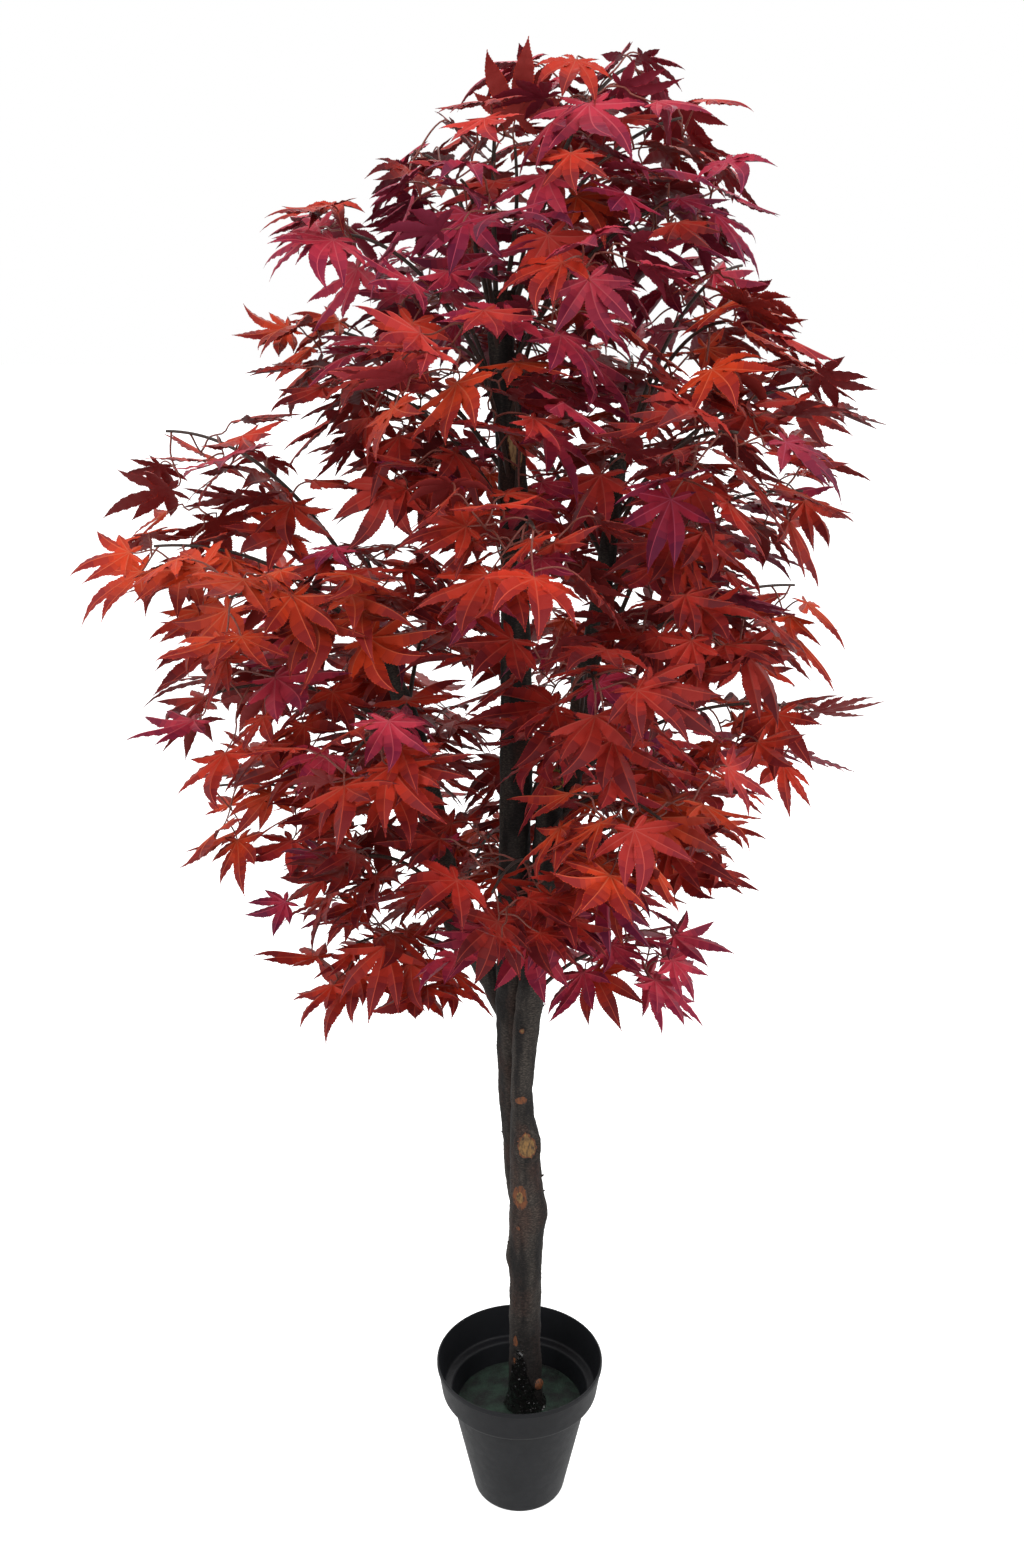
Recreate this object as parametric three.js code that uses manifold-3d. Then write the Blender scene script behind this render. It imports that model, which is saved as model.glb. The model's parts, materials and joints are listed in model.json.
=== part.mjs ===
// An artificial Japanese maple, 1.8 m tall, standing in a filled nursery pot. The trunk, the leader and two
// boughs are pieces of real timber. Wired sprays of red fabric leaves are fixed into them. Each spray is
// one mass of foliage: a stem, its twigs and its leaves, fused. Millimetres, +Z up, origin at the centre of
// the pot's flat underside. The front of the tree faces -Y.
import * as THREE from "three";
import { mergeVertices } from "three/addons/utils/BufferGeometryUtils.js";
import Module from "manifold-3d";

const wasm = await Module();
wasm.setup();

// ---------- driving dimensions ----------

const TREE_TOP = 1800; // height of the highest leaf tip
const SEED = 46; // of the leaves' places
const GAP = 0.3; // clearance between neighbouring pieces

const POT = {
  height: 199,
  rimRadius: 109.3,
  wall: 2.2,
  collarHeight: 49,
  collarFootRadius: 102.5,
  bodyTopRadius: 91,
  footRadius: 60.7,
  footRound: 4,
  segments: 32,
};
const FILL_TOP = 128;

// Each limb is a list of stations from its foot to its cut tip: height, centre x, centre y, radius.
const LIMBS = {
  trunk: {
    sides: 12,
    steps: 14,
    stations: [
      [FILL_TOP + GAP, 8, 0, 24.5],
      [165, 8, 0, 21.5],
      [300, 7, 0, 20.5],
      [420, 8, -1, 22],
      [520, 6, -4, 18],
      [600, 2, -7, 13.5],
      [700, 9, -8, 16.5],
      [860, 26, -10, 16],
      [1010, 36, -12, 14.5],
    ],
  },
  leader: {
    sides: 10,
    steps: 12,
    stations: [
      [395, -2, 29.3, 8],
      [470, -6, 28.8, 13.5],
      [655, -12, 21.6, 17],
      [870, -8, 7.5, 18],
      [1040, -5, 4, 19],
      [1256, -7, 2, 15.5],
      [1370, -11, 0, 15.5],
      [1480, -21, 0, 14.5],
      [1545, -20, 0, 12.5],
    ],
  },
  left_bough: {
    sides: 10,
    steps: 10,
    stations: [
      [678, -19, 48.1, 12.5],
      [745, -44, 44, 16],
      [815, -79, 30, 17],
      [965, -106, 12, 16.5],
      [1060, -124, 4, 13.5],
      [1130, -146, 0, 10.5],
      [1215, -163, -4, 8.5],
    ],
  },
  right_bough: {
    sides: 10,
    steps: 8,
    stations: [
      [940, 47, 9.6, 10.5],
      [975, 54, 9, 13],
      [1105, 72, 17, 12.5],
      [1240, 95, 26, 10.5],
      [1368, 108, 32, 8.5],
    ],
  },
};

// Sawn-off side shoots on the trunk, with how far each stands out. Headings are in degrees: 0 is +X and 90
// is +Y.
const SAWN_STUBS = [
  { height: 156, heading: 312, radius: 8, stands: 9 },
  { height: 360, heading: 190, radius: 9, stands: 2.5 },
  { height: 425, heading: 352, radius: 13, stands: 4 },
  { height: 457, heading: 248, radius: 8.5, stands: 1.5 },
  { height: 531, heading: 286, radius: 12, stands: 3 },
  { height: 594, heading: 262, radius: 6, stands: 1.5 },
];
const MOSS = { radius: 13.5, height: 11 };

// The sprays that reach the crown's outline on its two sides: height of each one's lowest leaf tip, how far
// that tip is from the pot's centre, and its heading.
const OUTLINE = {
  left: [
    [700, 270, 176],
    [835, 305, 196],
    [890, 465, 170],
    [1070, 440, 203],
    [1035, 525, 160],
    [1215, 495, 184],
    [1340, 490, 176],
    [1400, 300, 200],
    [1455, 345, 162],
    [1555, 285, 190],
    [1640, 210, 168],
    [1675, 135, 205],
  ],
  right: [
    [690, 235, 8],
    [885, 265, 338],
    [845, 360, 30],
    [1020, 405, 356],
    [1150, 355, 334],
    [1140, 440, 20],
    [1280, 400, 352],
    [1390, 425, 8],
    [1465, 325, 336],
    [1525, 375, 24],
    [1595, 290, 348],
    [1680, 280, 14],
    [1725, 220, 358],
  ],
};
// The crown's reach on its two sides, as height and distance from the pot's centre.
const CROWN = {
  left: [
    [690, 260],
    [900, 430],
    [1100, 450],
    [1210, 500],
    [1345, 475],
    [1390, 310],
    [1560, 290],
    [1680, 130],
  ],
  right: [
    [690, 230],
    [900, 290],
    [1010, 410],
    [1390, 410],
    [1460, 325],
    [1600, 295],
    [1730, 215],
  ],
  topReach: 30, // the reach at its very top
  front: 0.86, // the reach to the front and to the back, as a share of the mean of the sides
  back: 0.94,
  floor: 680, // the height of the lowest leaf tips
  frontRise: 0.5, // by which that rises for each millimetre to the front
  slack: 1.04, // the factor by which leaf tips may pass the outline
  hang: [70, 20], // how far a leaf may stand above its part of the outline, at mid-height and at the top
};

// Further sprays: how many, the first one's height, the rise between them, their share of the crown's
// reach, and the headings that they take in turn.
const FRONT_HEADINGS = [262, 304, 236, 284, 218, 272, 316, 250, 290, 240];
const RINGS = {
  front: { count: 10, low: 868, rise: 82, share: 1, headings: FRONT_HEADINGS },
  back: { count: 10, low: 780, rise: 91, share: 1, headings: [98, 56, 124, 78, 138, 42] },
  inner: { count: 8, low: 800, rise: 102, share: 0.58, headings: [250, 70, 310, 130, 205, 25] },
};

const STEM = {
  baseRadius: 3.6,
  tipRadius: 2.6,
  segments: 4,
  arch: [0.16, -0.08], // the height of its arch as a share of its run, low and high in the crown
  droop: [52, 18], // the fall of its end leaf in degrees, low and high in the crown
  clear: 9.5, // how far it keeps off the other stems
  bend: 7,
  slide: 4,
  tries: 31,
};
const LIFT = { low: -45, high: 150, from: 700, to: 1700 }; // how far below its tip a spray leaves its limb

// Each twig carries one leaf. It swings this many degrees off its stem, and its slope is from fall to rise.
const TWIG = { short: 16, long: 85, sunk: 6, radius: 1.1, swing: [20, 110], rise: 0.9, fall: -0.6 };
const LEAF = {
  length: 104,
  sizes: [0.85, 1.05],
  onSpray: 7,
  first: 0.32, // the share of its stem that is bare
  droop: 66, // the most that it falls, in degrees
  roll: 60, // the spread of its turn about its middle lobe, in degrees
  outward: 0.35, // the most that it turns from its twig's way towards its spray's
  thick: 2.6,
  neck: 3,
  curl: 0.2,
  tries: 50,
};

// What a leaf keeps off everything else. No leaf is nearer than limbEnd above a limb's cut tip.
const GAPS = { leaf: 8, otherLeaf: 13, wire: 10, twig: 9, limb: 4, limbEnd: 16 };

// A five-lobed leaf seen from above: angle from the middle lobe in degrees, and distance from the stalk.
const LEAF_OUTLINE = [
  [0, 1],
  [19, 0.34],
  [40, 0.86],
  [64, 0.28],
  [100, 0.6],
  [260, 0.6],
  [296, 0.28],
  [320, 0.86],
  [341, 0.34],
];

// ---------- small tools ----------

const radians = THREE.MathUtils.degToRad;
const lerp = THREE.MathUtils.lerp;
const vec = (x, y, z) => new THREE.Vector3(x, y, z);
const UP = vec(0, 0, 1);

// A stream of numbers from 0 to 1 that is the same on every run.
function stream(seed) {
  let state = (Math.imul(seed, 2654435761) + 12345) >>> 0;
  const next = () => {
    state = (Math.imul(state, 1664525) + 1013904223) >>> 0;
    return state / 4294967296;
  };
  next();
  next();
  return next;
}

// The value of each column of a table at a key in its first column, on a smooth curve through the rows.
function smoothRow(table, key) {
  let i = 0;
  while (i < table.length - 2 && key > table[i + 1][0]) i++;
  const a = table[i];
  const b = table[i + 1];
  const before = table[Math.max(i - 1, 0)];
  const after = table[Math.min(i + 2, table.length - 1)];
  const span = b[0] - a[0];
  const t = THREE.MathUtils.clamp((key - a[0]) / span, 0, 1);
  return a.slice(1).map((_, k) => {
    const slopeA = (b[k + 1] - before[k + 1]) / (b[0] - before[0]);
    const slopeB = (after[k + 1] - a[k + 1]) / (after[0] - a[0]);
    return (
      a[k + 1] * (1 + 2 * t) * (1 - t) ** 2 +
      slopeA * span * t * (1 - t) ** 2 +
      b[k + 1] * t * t * (3 - 2 * t) +
      slopeB * span * t * t * (t - 1)
    );
  });
}

// A geometry's solid, from its positions alone.
function solidOf(geometry) {
  const plain = geometry.clone();
  plain.deleteAttribute("normal");
  plain.deleteAttribute("uv");
  const merged = mergeVertices(plain, 1e-4);
  return new wasm.Manifold(
    new wasm.Mesh({
      numProp: 3,
      vertProperties: new Float32Array(merged.attributes.position.array),
      triVerts: new Uint32Array(merged.index.array),
    }),
  );
}

// A solid's faces with their corners on a grid of 1/512 mm, so that the slivers which a join leaves close
// up: a face that has shrunk to a line goes, and so do two faces that lie back to back.
function tidiedFaces({ vertProperties, triVerts }) {
  const points = vertProperties.map((v) => Math.round(v * 512) / 512);
  const grid = new THREE.BufferGeometry()
    .setAttribute("position", new THREE.BufferAttribute(points, 3))
    .setIndex(new THREE.BufferAttribute(triVerts, 1));
  const merged = mergeVertices(grid, 1e-4);
  const corners = merged.index.array;
  const faces = new Map();
  for (let i = 0; i < corners.length; i += 3) {
    const face = [corners[i], corners[i + 1], corners[i + 2]];
    if (new Set(face).size < 3) continue;
    const key = [...face].sort((a, b) => a - b).join();
    if (faces.has(key)) faces.delete(key);
    else faces.set(key, face);
  }
  return merged.setIndex([...faces.values()].flat());
}

function meshOf(name, solid, material) {
  const geometry = tidiedFaces(solid.getMesh());
  geometry.computeVertexNormals();
  const mesh = new THREE.Mesh(geometry, material);
  mesh.name = name;
  return mesh;
}

// A closed tapering tube: a cylinder's rings moved onto place(t), which gives a ring's centre and its two
// radii.
function bentCylinder(sides, steps, place) {
  const geometry = new THREE.CylinderGeometry(1, 1, 1, sides, steps);
  const position = geometry.attributes.position;
  for (let i = 0; i < position.count; i++) {
    const { centre, across, along } = place(position.getY(i) + 0.5);
    const moved = centre.clone();
    moved.addScaledVector(across, position.getX(i));
    moved.addScaledVector(along, -position.getZ(i));
    position.setXYZ(i, moved.x, moved.y, moved.z);
  }
  return solidOf(geometry);
}

// ---------- pot and fill ----------

// A profile of radius and height pairs, turned about +Z.
function turned(profile) {
  const points = profile.map(([r, z]) => new THREE.Vector2(r, z));
  return solidOf(new THREE.LatheGeometry(points, POT.segments).rotateX(Math.PI / 2));
}

const collarFoot = POT.height - POT.collarHeight;

// Radius of the inside of the pot's body at a height.
function bodyBore(height) {
  return lerp(POT.footRadius, POT.bodyTopRadius, height / collarFoot) - POT.wall;
}

function potSolid() {
  const ledge = collarFoot + POT.wall;
  return turned([
    [0, 0],
    [POT.footRadius - POT.footRound, 0],
    [POT.footRadius - POT.footRound * 0.3, POT.footRound * 0.3],
    [POT.footRadius, POT.footRound],
    [POT.bodyTopRadius, collarFoot],
    [POT.collarFootRadius, collarFoot],
    [POT.rimRadius, POT.height - POT.wall],
    [POT.rimRadius - POT.wall / 2, POT.height],
    [POT.rimRadius - POT.wall, POT.height - POT.wall / 2],
    [POT.collarFootRadius - POT.wall, ledge],
    [bodyBore(ledge), ledge],
    [bodyBore(POT.wall), POT.wall],
    [0, POT.wall],
  ]);
}

function fillSolid() {
  const floor = POT.wall + GAP;
  return turned([
    [0, floor],
    [bodyBore(floor) - GAP, floor],
    [bodyBore(FILL_TOP) - GAP, FILL_TOP],
    [0, FILL_TOP],
  ]);
}

// ---------- timber ----------

// Centre and radius of a limb at a height.
function limbAt(limb, height) {
  const [x, y, radius] = smoothRow(limb.stations, height);
  return { centre: vec(x, y, height), radius };
}
const footOf = (limb) => limb.stations[0][0];
const tipOf = (limb) => limb.stations[limb.stations.length - 1][0];

// A limb's rings are level, so that its foot is a flat cut. Grown by clear, it is the space that it needs.
function limbSolid(limb, clear = 0) {
  return bentCylinder(limb.sides, limb.steps, (t) => {
    const height = lerp(footOf(limb), tipOf(limb), t);
    const { centre, radius } = limbAt(limb, height);
    if (t === 0) centre.z -= clear;
    if (t === 1) centre.z += clear;
    const r = radius + clear;
    return { centre, across: vec(r, 0, 0), along: vec(0, r, 0) };
  });
}

function stubSolid({ height, heading, radius, stands }) {
  const { centre, radius: trunkRadius } = limbAt(LIMBS.trunk, height);
  const out = vec(Math.cos(radians(heading)), Math.sin(radians(heading)), 0.25).normalize();
  const reach = trunkRadius + stands;
  const stub = new THREE.CylinderGeometry(radius * 0.8, radius * 1.25, reach, 8);
  stub.translate(0, reach / 2, 0);
  stub.applyQuaternion(new THREE.Quaternion().setFromUnitVectors(vec(0, 1, 0), out));
  return solidOf(stub.translate(centre.x, centre.y, centre.z));
}

function mossSolid() {
  const { centre } = limbAt(LIMBS.trunk, tipOf(LIMBS.trunk));
  const dome = [
    [0, 0],
    [MOSS.radius, 0],
    [MOSS.radius * 0.86, MOSS.height * 0.62],
    [MOSS.radius * 0.45, MOSS.height * 0.94],
    [0, MOSS.height],
  ].map(([r, z]) => new THREE.Vector2(r, z));
  const geometry = new THREE.LatheGeometry(dome, 12).rotateX(Math.PI / 2);
  return solidOf(geometry.translate(centre.x, centre.y, centre.z - 1));
}

// ---------- sprays: where each one leaves its limb and where it ends ----------

// One side of the crown's outline at a height.
function outlineAt(side, height) {
  const table = [...CROWN[side], [TREE_TOP, CROWN.topReach]];
  const key = THREE.MathUtils.clamp(height, table[0][0], TREE_TOP);
  let i = 0;
  while (i < table.length - 2 && key > table[i + 1][0]) i++;
  return lerp(table[i][1], table[i + 1][1], (key - table[i][0]) / (table[i + 1][0] - table[i][0]));
}

// Distance of the crown's outline from the pot's centre towards a level direction at a height.
function crownReach(x, y, height) {
  const left = outlineAt("left", height);
  const right = outlineAt("right", height);
  const depth = y < 0 ? CROWN.front : CROWN.back;
  return lerp((depth * (left + right)) / 2, x < 0 ? left : right, x * x);
}

// The limb that stands furthest out towards a heading, and the height on it nearest the one asked for.
function limbFor(outward, height) {
  let best = null;
  for (const limb of Object.values(LIMBS)) {
    const z = THREE.MathUtils.clamp(height, footOf(limb) + 45, tipOf(limb) - 6);
    const { centre, radius } = limbAt(limb, z);
    const score = centre.dot(outward) - 2.5 * Math.abs(z - height);
    if (!best || score > best.score) best = { limb, z, centre, radius, score };
  }
  return best;
}

// One spray: its stem is an arch from the limb's surface to the foot of its end leaf, whose tip is the
// spray's tip.
function spray(name, heading, tipHeight, reach) {
  const outward = vec(Math.cos(radians(heading)), Math.sin(radians(heading)), 0);
  const high = THREE.MathUtils.clamp((tipHeight - LIFT.from) / (LIFT.to - LIFT.from), 0, 1);
  const droop = lerp(...STEM.droop, high);
  const leafRun = LEAF.length + 10;
  const end = outward.clone().multiplyScalar(reach - leafRun * Math.cos(radians(droop)));
  end.z = tipHeight + leafRun * Math.sin(radians(droop));
  const from = limbFor(outward, tipHeight - lerp(LIFT.low, LIFT.high, high));
  const start = from.centre.clone().addScaledVector(outward, from.radius * 0.5);
  const middle = start.clone().lerp(end, 0.45);
  middle.z = Math.max(start.z, end.z) + lerp(...STEM.arch, high) * start.distanceTo(end);
  return { name, limb: from.limb, start, middle, end, droop, outward };
}

// The spray at the very top stands upright on the leader's cut tip.
function topSpray() {
  const limb = LIMBS.leader;
  const start = limbAt(limb, tipOf(limb)).centre.add(vec(0, 0, -10));
  const end = vec(-7, -12, TREE_TOP - LEAF.length - 12);
  const middle = start.clone().lerp(end, 0.5).add(vec(14, 4, 0));
  return { name: "foliage_top", limb, start, middle, end, droop: -84, outward: vec(0, -1, 0) };
}

// Where a stem is fixed into its limb at a height.
function rootOf(s, height) {
  const z = THREE.MathUtils.clamp(height, footOf(s.limb) + 30, tipOf(s.limb) - 6);
  const { centre, radius } = limbAt(s.limb, z);
  return centre.addScaledVector(s.outward, radius * 0.5);
}

// A stem that comes too near another one or the timber bends further and further round, to one side and the
// other in turn, and slides down its limb, until it is clear.
function settleStem(s, settled) {
  const side = s.end.clone().sub(s.start).cross(UP).normalize();
  const height = s.start.z;
  const straight = s.middle.clone();
  let best = { clearance: -1 };
  for (let attempt = 0; attempt < STEM.tries && best.clearance < STEM.clear; attempt++) {
    s.start = rootOf(s, height - attempt * STEM.slide);
    const bend = Math.ceil(attempt / 2) * (attempt % 2 ? 1 : -1) * STEM.bend;
    s.middle = straight.clone().addScaledVector(side, bend);
    const line = pointsAlong(s, STEM.segments);
    const spots = pointsAlong(s, 40).filter((p) => !insideLimb(p, s.limb));
    let clearance = spots.every((p) => clearOfLimbs(p, s.limb)) ? Infinity : 0;
    for (const other of settled) {
      clearance = Math.min(clearance, ...spots.map((p) => distanceToLine(p, other.line)));
    }
    if (clearance > best.clearance) best = { clearance, start: s.start, middle: s.middle, line };
  }
  Object.assign(s, { start: best.start, middle: best.middle, line: best.line, leaves: [] });
  settled.push(s);
}

function allSprays() {
  const made = [topSpray()];
  for (const [side, tips] of Object.entries(OUTLINE)) {
    tips.forEach(([height, reach, heading], i) => {
      made.push(spray(`foliage_${side}_${i + 1}`, heading, height, reach));
    });
  }
  for (const [name, ring] of Object.entries(RINGS)) {
    for (let i = 0; i < ring.count; i++) {
      const height = ring.low + i * ring.rise;
      const heading = ring.headings[i % ring.headings.length];
      const reach = crownReach(Math.cos(radians(heading)), Math.sin(radians(heading)), height);
      made.push(spray(`foliage_${name}_${i + 1}`, heading, height, ring.share * reach));
    }
  }
  const settled = [];
  made.forEach((s) => settleStem(s, settled));
  return settled;
}

// A point on a spray's stem, from its root at 0 to its end at 1.
function stemAt(s, t) {
  return s.start
    .clone()
    .multiplyScalar((1 - t) ** 2)
    .addScaledVector(s.middle, 2 * t * (1 - t))
    .addScaledVector(s.end, t * t);
}

const pointsAlong = (s, count) => Array.from({ length: count + 1 }, (_, k) => stemAt(s, k / count));

function stemDirection(s, t) {
  const back = s.middle.clone().sub(s.start).multiplyScalar(1 - t);
  return back.add(s.end.clone().sub(s.middle).multiplyScalar(t)).normalize();
}

// A point on the straight lengths that a stem's solid is made of.
function onStem(s, t) {
  const i = Math.min(Math.floor(t * STEM.segments), STEM.segments - 1);
  return s.line[i].clone().lerp(s.line[i + 1], t * STEM.segments - i);
}

// ---------- room: what keeps the masses apart ----------

function distanceToLine(point, line) {
  let least = Infinity;
  const nearest = vec(0, 0, 0);
  const piece = new THREE.Line3();
  for (let i = 0; i + 1 < line.length; i++) {
    piece.set(line[i], line[i + 1]).closestPointToPoint(point, true, nearest);
    least = Math.min(least, nearest.distanceTo(point));
  }
  return least;
}

function insideLimb(p, limb, gap = 0) {
  if (p.z < footOf(limb) - gap || p.z > tipOf(limb) + (gap && GAPS.limbEnd)) return false;
  const { centre, radius } = limbAt(limb, p.z);
  return Math.hypot(p.x - centre.x, p.y - centre.y) < radius + gap;
}

function clearOfLimbs(p, exceptLimb = null) {
  return Object.values(LIMBS).every((limb) => limb === exceptLimb || !insideLimb(p, limb, GAPS.limb));
}

const pairsOf = (line) => line.slice(1).map((p, i) => [line[i], p]);

// The outline is that of drooping tips, so a leaf may pass it by as much as it hangs.
function insideCrown(p) {
  const r = Math.hypot(p.x, p.y);
  if (p.z > TREE_TOP || p.z < CROWN.floor + CROWN.frontRise * Math.max(0, -p.y)) return false;
  const hang = lerp(...CROWN.hang, THREE.MathUtils.clamp((p.z - 1400) / 300, 0, 1));
  const reachBelow = (share) => crownReach(p.x / r, p.y / r, p.z - share * hang);
  return r < CROWN.slack * Math.max(...[0, 0.5, 1].map(reachBelow));
}

// Whether any of some straight lines passes through any of some triangles.
function pierces(lines, triangles) {
  const ray = new THREE.Ray();
  const hit = vec(0, 0, 0);
  return lines.some(([p, q]) => {
    ray.origin.copy(p);
    ray.direction.copy(q).sub(p).normalize();
    const length = p.distanceTo(q);
    const passes = ([a, b, c]) => ray.intersectTriangle(a, b, c, false, hit) && hit.distanceTo(p) < length;
    return triangles.some(passes);
  });
}

// Whether a leaf is in the crown, and clear of the timber and of every stem. It doesn't fold back on its
// own twig.
function hasRoom(leaf, own, sprays) {
  const twig = leaf.foot.clone().sub(leaf.root);
  if (twig.dot(leaf.forward) < 0.05 * twig.length()) return false;
  const points = [...leaf.spots, ...leaf.twigSpots];
  if (!points.every((p) => insideCrown(p) && clearOfLimbs(p))) return false;
  return sprays.every((other) => {
    if (distanceToLine(leaf.middle, other.line) > 1.2 * LEAF.length) return true;
    const near = other === own ? leaf.ring : points;
    if (near.some((p) => distanceToLine(p, other.line) < GAPS.wire)) return false;
    return !pierces(pairsOf(other.line), leaf.faces);
  });
}

// Whether a leaf and its twig keep off the leaves and twigs that are there already.
function clearOfLeaves(leaf, own, sprays) {
  const apart = (mine, theirs, least) => mine.every((p) => theirs.every((q) => p.distanceTo(q) > least));
  return sprays.every((other) => {
    const gap = other === own ? GAPS.leaf : GAPS.otherLeaf;
    return other.leaves.every((there) => {
      if (there.middle.distanceTo(leaf.middle) > 1.6 * LEAF.length + gap) return true;
      if (!apart(leaf.spots, there.spots, gap)) return false;
      if (!apart(leaf.twigSpots, [...there.spots, ...there.twigSpots], GAPS.twig)) return false;
      if (!apart(leaf.spots, there.twigSpots, GAPS.twig)) return false;
      return !pierces(leaf.edges, there.faces) && !pierces(there.edges, leaf.faces);
    });
  });
}

// ---------- leaves ----------

// A leaf on its twig: where the twig is rooted in the stem, the leaf's foot, the ways that its middle lobe
// and its upper face point, and its size. Leaf number 0 ends the stem.
function leafPlace(s, k, side, next) {
  const isEnd = k === 0;
  const t = isEnd ? 1 : lerp(LEAF.first, 0.96, next());
  const root = onStem(s, t);
  const along = stemDirection(s, t);
  const level = vec(along.x, along.y, 0);
  if (level.length() < 0.3) level.copy(s.outward);
  level.normalize();
  const swing = isEnd ? 30 * (next() - 0.5) : side * lerp(...TWIG.swing, next());
  const twigWay = level.clone().applyAxisAngle(UP, radians(swing));
  const foot = root.clone();
  if (isEnd) {
    foot.addScaledVector(along, TWIG.short * 0.6);
    root.addScaledVector(along, -TWIG.sunk);
  } else {
    const rising = twigWay.clone().setZ(lerp(TWIG.fall, TWIG.rise, next())).normalize();
    foot.addScaledVector(rising, lerp(TWIG.short, TWIG.long, next() ** 1.5));
  }
  const droop = radians(isEnd && s.droop < 0 ? s.droop : lerp(0, LEAF.droop, next()));
  const way = twigWay.lerp(s.outward, LEAF.outward * next()).normalize();
  const forward = way.clone().multiplyScalar(Math.cos(droop)).setZ(-Math.sin(droop));
  const normal = way.clone().multiplyScalar(Math.sin(droop)).setZ(Math.cos(droop));
  normal.applyAxisAngle(forward, radians(LEAF.roll * (next() - 0.5)));
  return { root, foot, forward, normal, size: LEAF.length * lerp(...LEAF.sizes, next()) };
}

// The points of a leaf's outline, curling down towards its tips.
function leafRing({ foot, forward, normal, size }) {
  const side = normal.clone().cross(forward);
  return LEAF_OUTLINE.map(([angle, r]) =>
    foot
      .clone()
      .addScaledVector(forward, size * r * Math.cos(radians(angle)))
      .addScaledVector(side, size * r * Math.sin(radians(angle)))
      .addScaledVector(normal, -size * LEAF.curl * r * r),
  );
}

// A leaf with what its room is judged by: spots on its face and twig, its edges, and its faces about its
// foot.
function measured(leaf) {
  const { root, foot, forward, size } = leaf;
  const ring = leafRing(leaf);
  const inwards = (share) => ring.map((p) => p.clone().lerp(foot, share));
  const faces = ring.map((p, i) => [foot, p, ring[(i + 1) % ring.length]]);
  return {
    ...leaf,
    ring,
    faces,
    edges: [...faces.map(([, p, q]) => [p, q]), ...ring.map((p) => [foot, p]), [root, foot]],
    middle: foot.clone().addScaledVector(forward, 0.4 * size),
    spots: [...ring, ...inwards(0.25), ...inwards(0.5), ...inwards(0.75), foot],
    twigSpots: [0.12, 0.25, 0.38, 0.51, 0.64, 0.77, 0.9].map((t) => root.clone().lerp(foot, t)),
  };
}

// Leaf number k of a spray: it is tried many ways, and left out if none has room.
function growLeaf(s, index, k, sprays) {
  const next = stream(SEED + index * 97 + k);
  for (let attempt = 0; attempt < LEAF.tries; attempt++) {
    const leaf = measured(leafPlace(s, k, (k + attempt) % 2 ? 1 : -1, next));
    if (hasRoom(leaf, s, sprays) && clearOfLeaves(leaf, s, sprays)) {
      s.leaves.push(leaf);
      return;
    }
  }
}

// The leaves grow one on each spray in turn.
function growFoliage(sprays) {
  for (let k = 0; k < LEAF.onSpray; k++) sprays.forEach((s, index) => growLeaf(s, index, k, sprays));
}

// A leaf with its twig, as one closed mesh. The blade is two fans on its outline, from a point above its
// foot and one below. Its outline opens at the back in a triangle, and the three-sided twig runs from that
// to its root and sinks on past it by the length given.
function leafSolid({ root, foot, forward, normal, ring }, sunk) {
  const side = normal.clone().cross(forward);
  const at = (centre, ahead, aside, above) =>
    centre
      .clone()
      .addScaledVector(forward, ahead)
      .addScaledVector(side, aside)
      .addScaledVector(normal, above);
  const top = at(foot, 0, 0, LEAF.thick / 2);
  const under = at(foot, 0, 0, -LEAF.thick / 2);
  const left = at(foot, -LEAF.neck, TWIG.radius, 0);
  const right = at(foot, -LEAF.neck, -TWIG.radius, 0);

  const way = foot.clone().sub(root).normalize();
  const across = side.clone().addScaledVector(way, -side.dot(way)).normalize();
  const above = way.clone().cross(across);
  const end = root.clone().addScaledVector(way, -sunk);
  const rootCorner = (x, y) => {
    return end.clone().addScaledVector(across, x * TWIG.radius).addScaledVector(above, y * TWIG.radius);
  };

  const half = (ring.length + 1) / 2;
  const outline = [...ring.slice(0, half), left, right, ...ring.slice(half)];
  const n = outline.length;
  const rootPoints = [rootCorner(-0.87, 0.5), rootCorner(0.87, 0.5), rootCorner(0, -1)];
  const points = [top, under, ...outline, ...rootPoints];
  const [TOP, UNDER, LEFT, RIGHT] = [0, 1, 2 + half, 3 + half];
  const neck = [RIGHT, LEFT, UNDER];
  const rootCorners = [n + 2, n + 3, n + 4];
  const faces = [...rootCorners];
  for (let i = 0; i < n; i++) {
    const [here, next] = [2 + i, 2 + ((i + 1) % n)];
    faces.push(TOP, here, next);
    if (here !== LEFT) faces.push(UNDER, next, here);
  }
  for (let j = 0; j < 3; j++) {
    const k = (j + 1) % 3;
    faces.push(neck[j], neck[k], rootCorners[k]);
    faces.push(neck[j], rootCorners[k], rootCorners[j]);
  }
  const geometry = new THREE.BufferGeometry().setFromPoints(points);
  geometry.setIndex(faces);
  return solidOf(geometry);
}

function stemSolid(s) {
  return bentCylinder(3, STEM.segments, (t) => {
    const along = stemDirection(s, t);
    const across = along.clone().cross(Math.abs(along.z) > 0.9 ? vec(0, 1, 0) : UP).normalize();
    const radius = lerp(STEM.baseRadius, STEM.tipRadius, t);
    return {
      centre: stemAt(s, t),
      across: across.multiplyScalar(radius),
      along: across.clone().cross(along).normalize().multiplyScalar(-radius),
    };
  });
}

// The largest of a solid's separate bodies.
function largestBody(solid) {
  return solid.decompose().reduce((a, b) => (b.volume() > a.volume() ? b : a));
}

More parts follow.
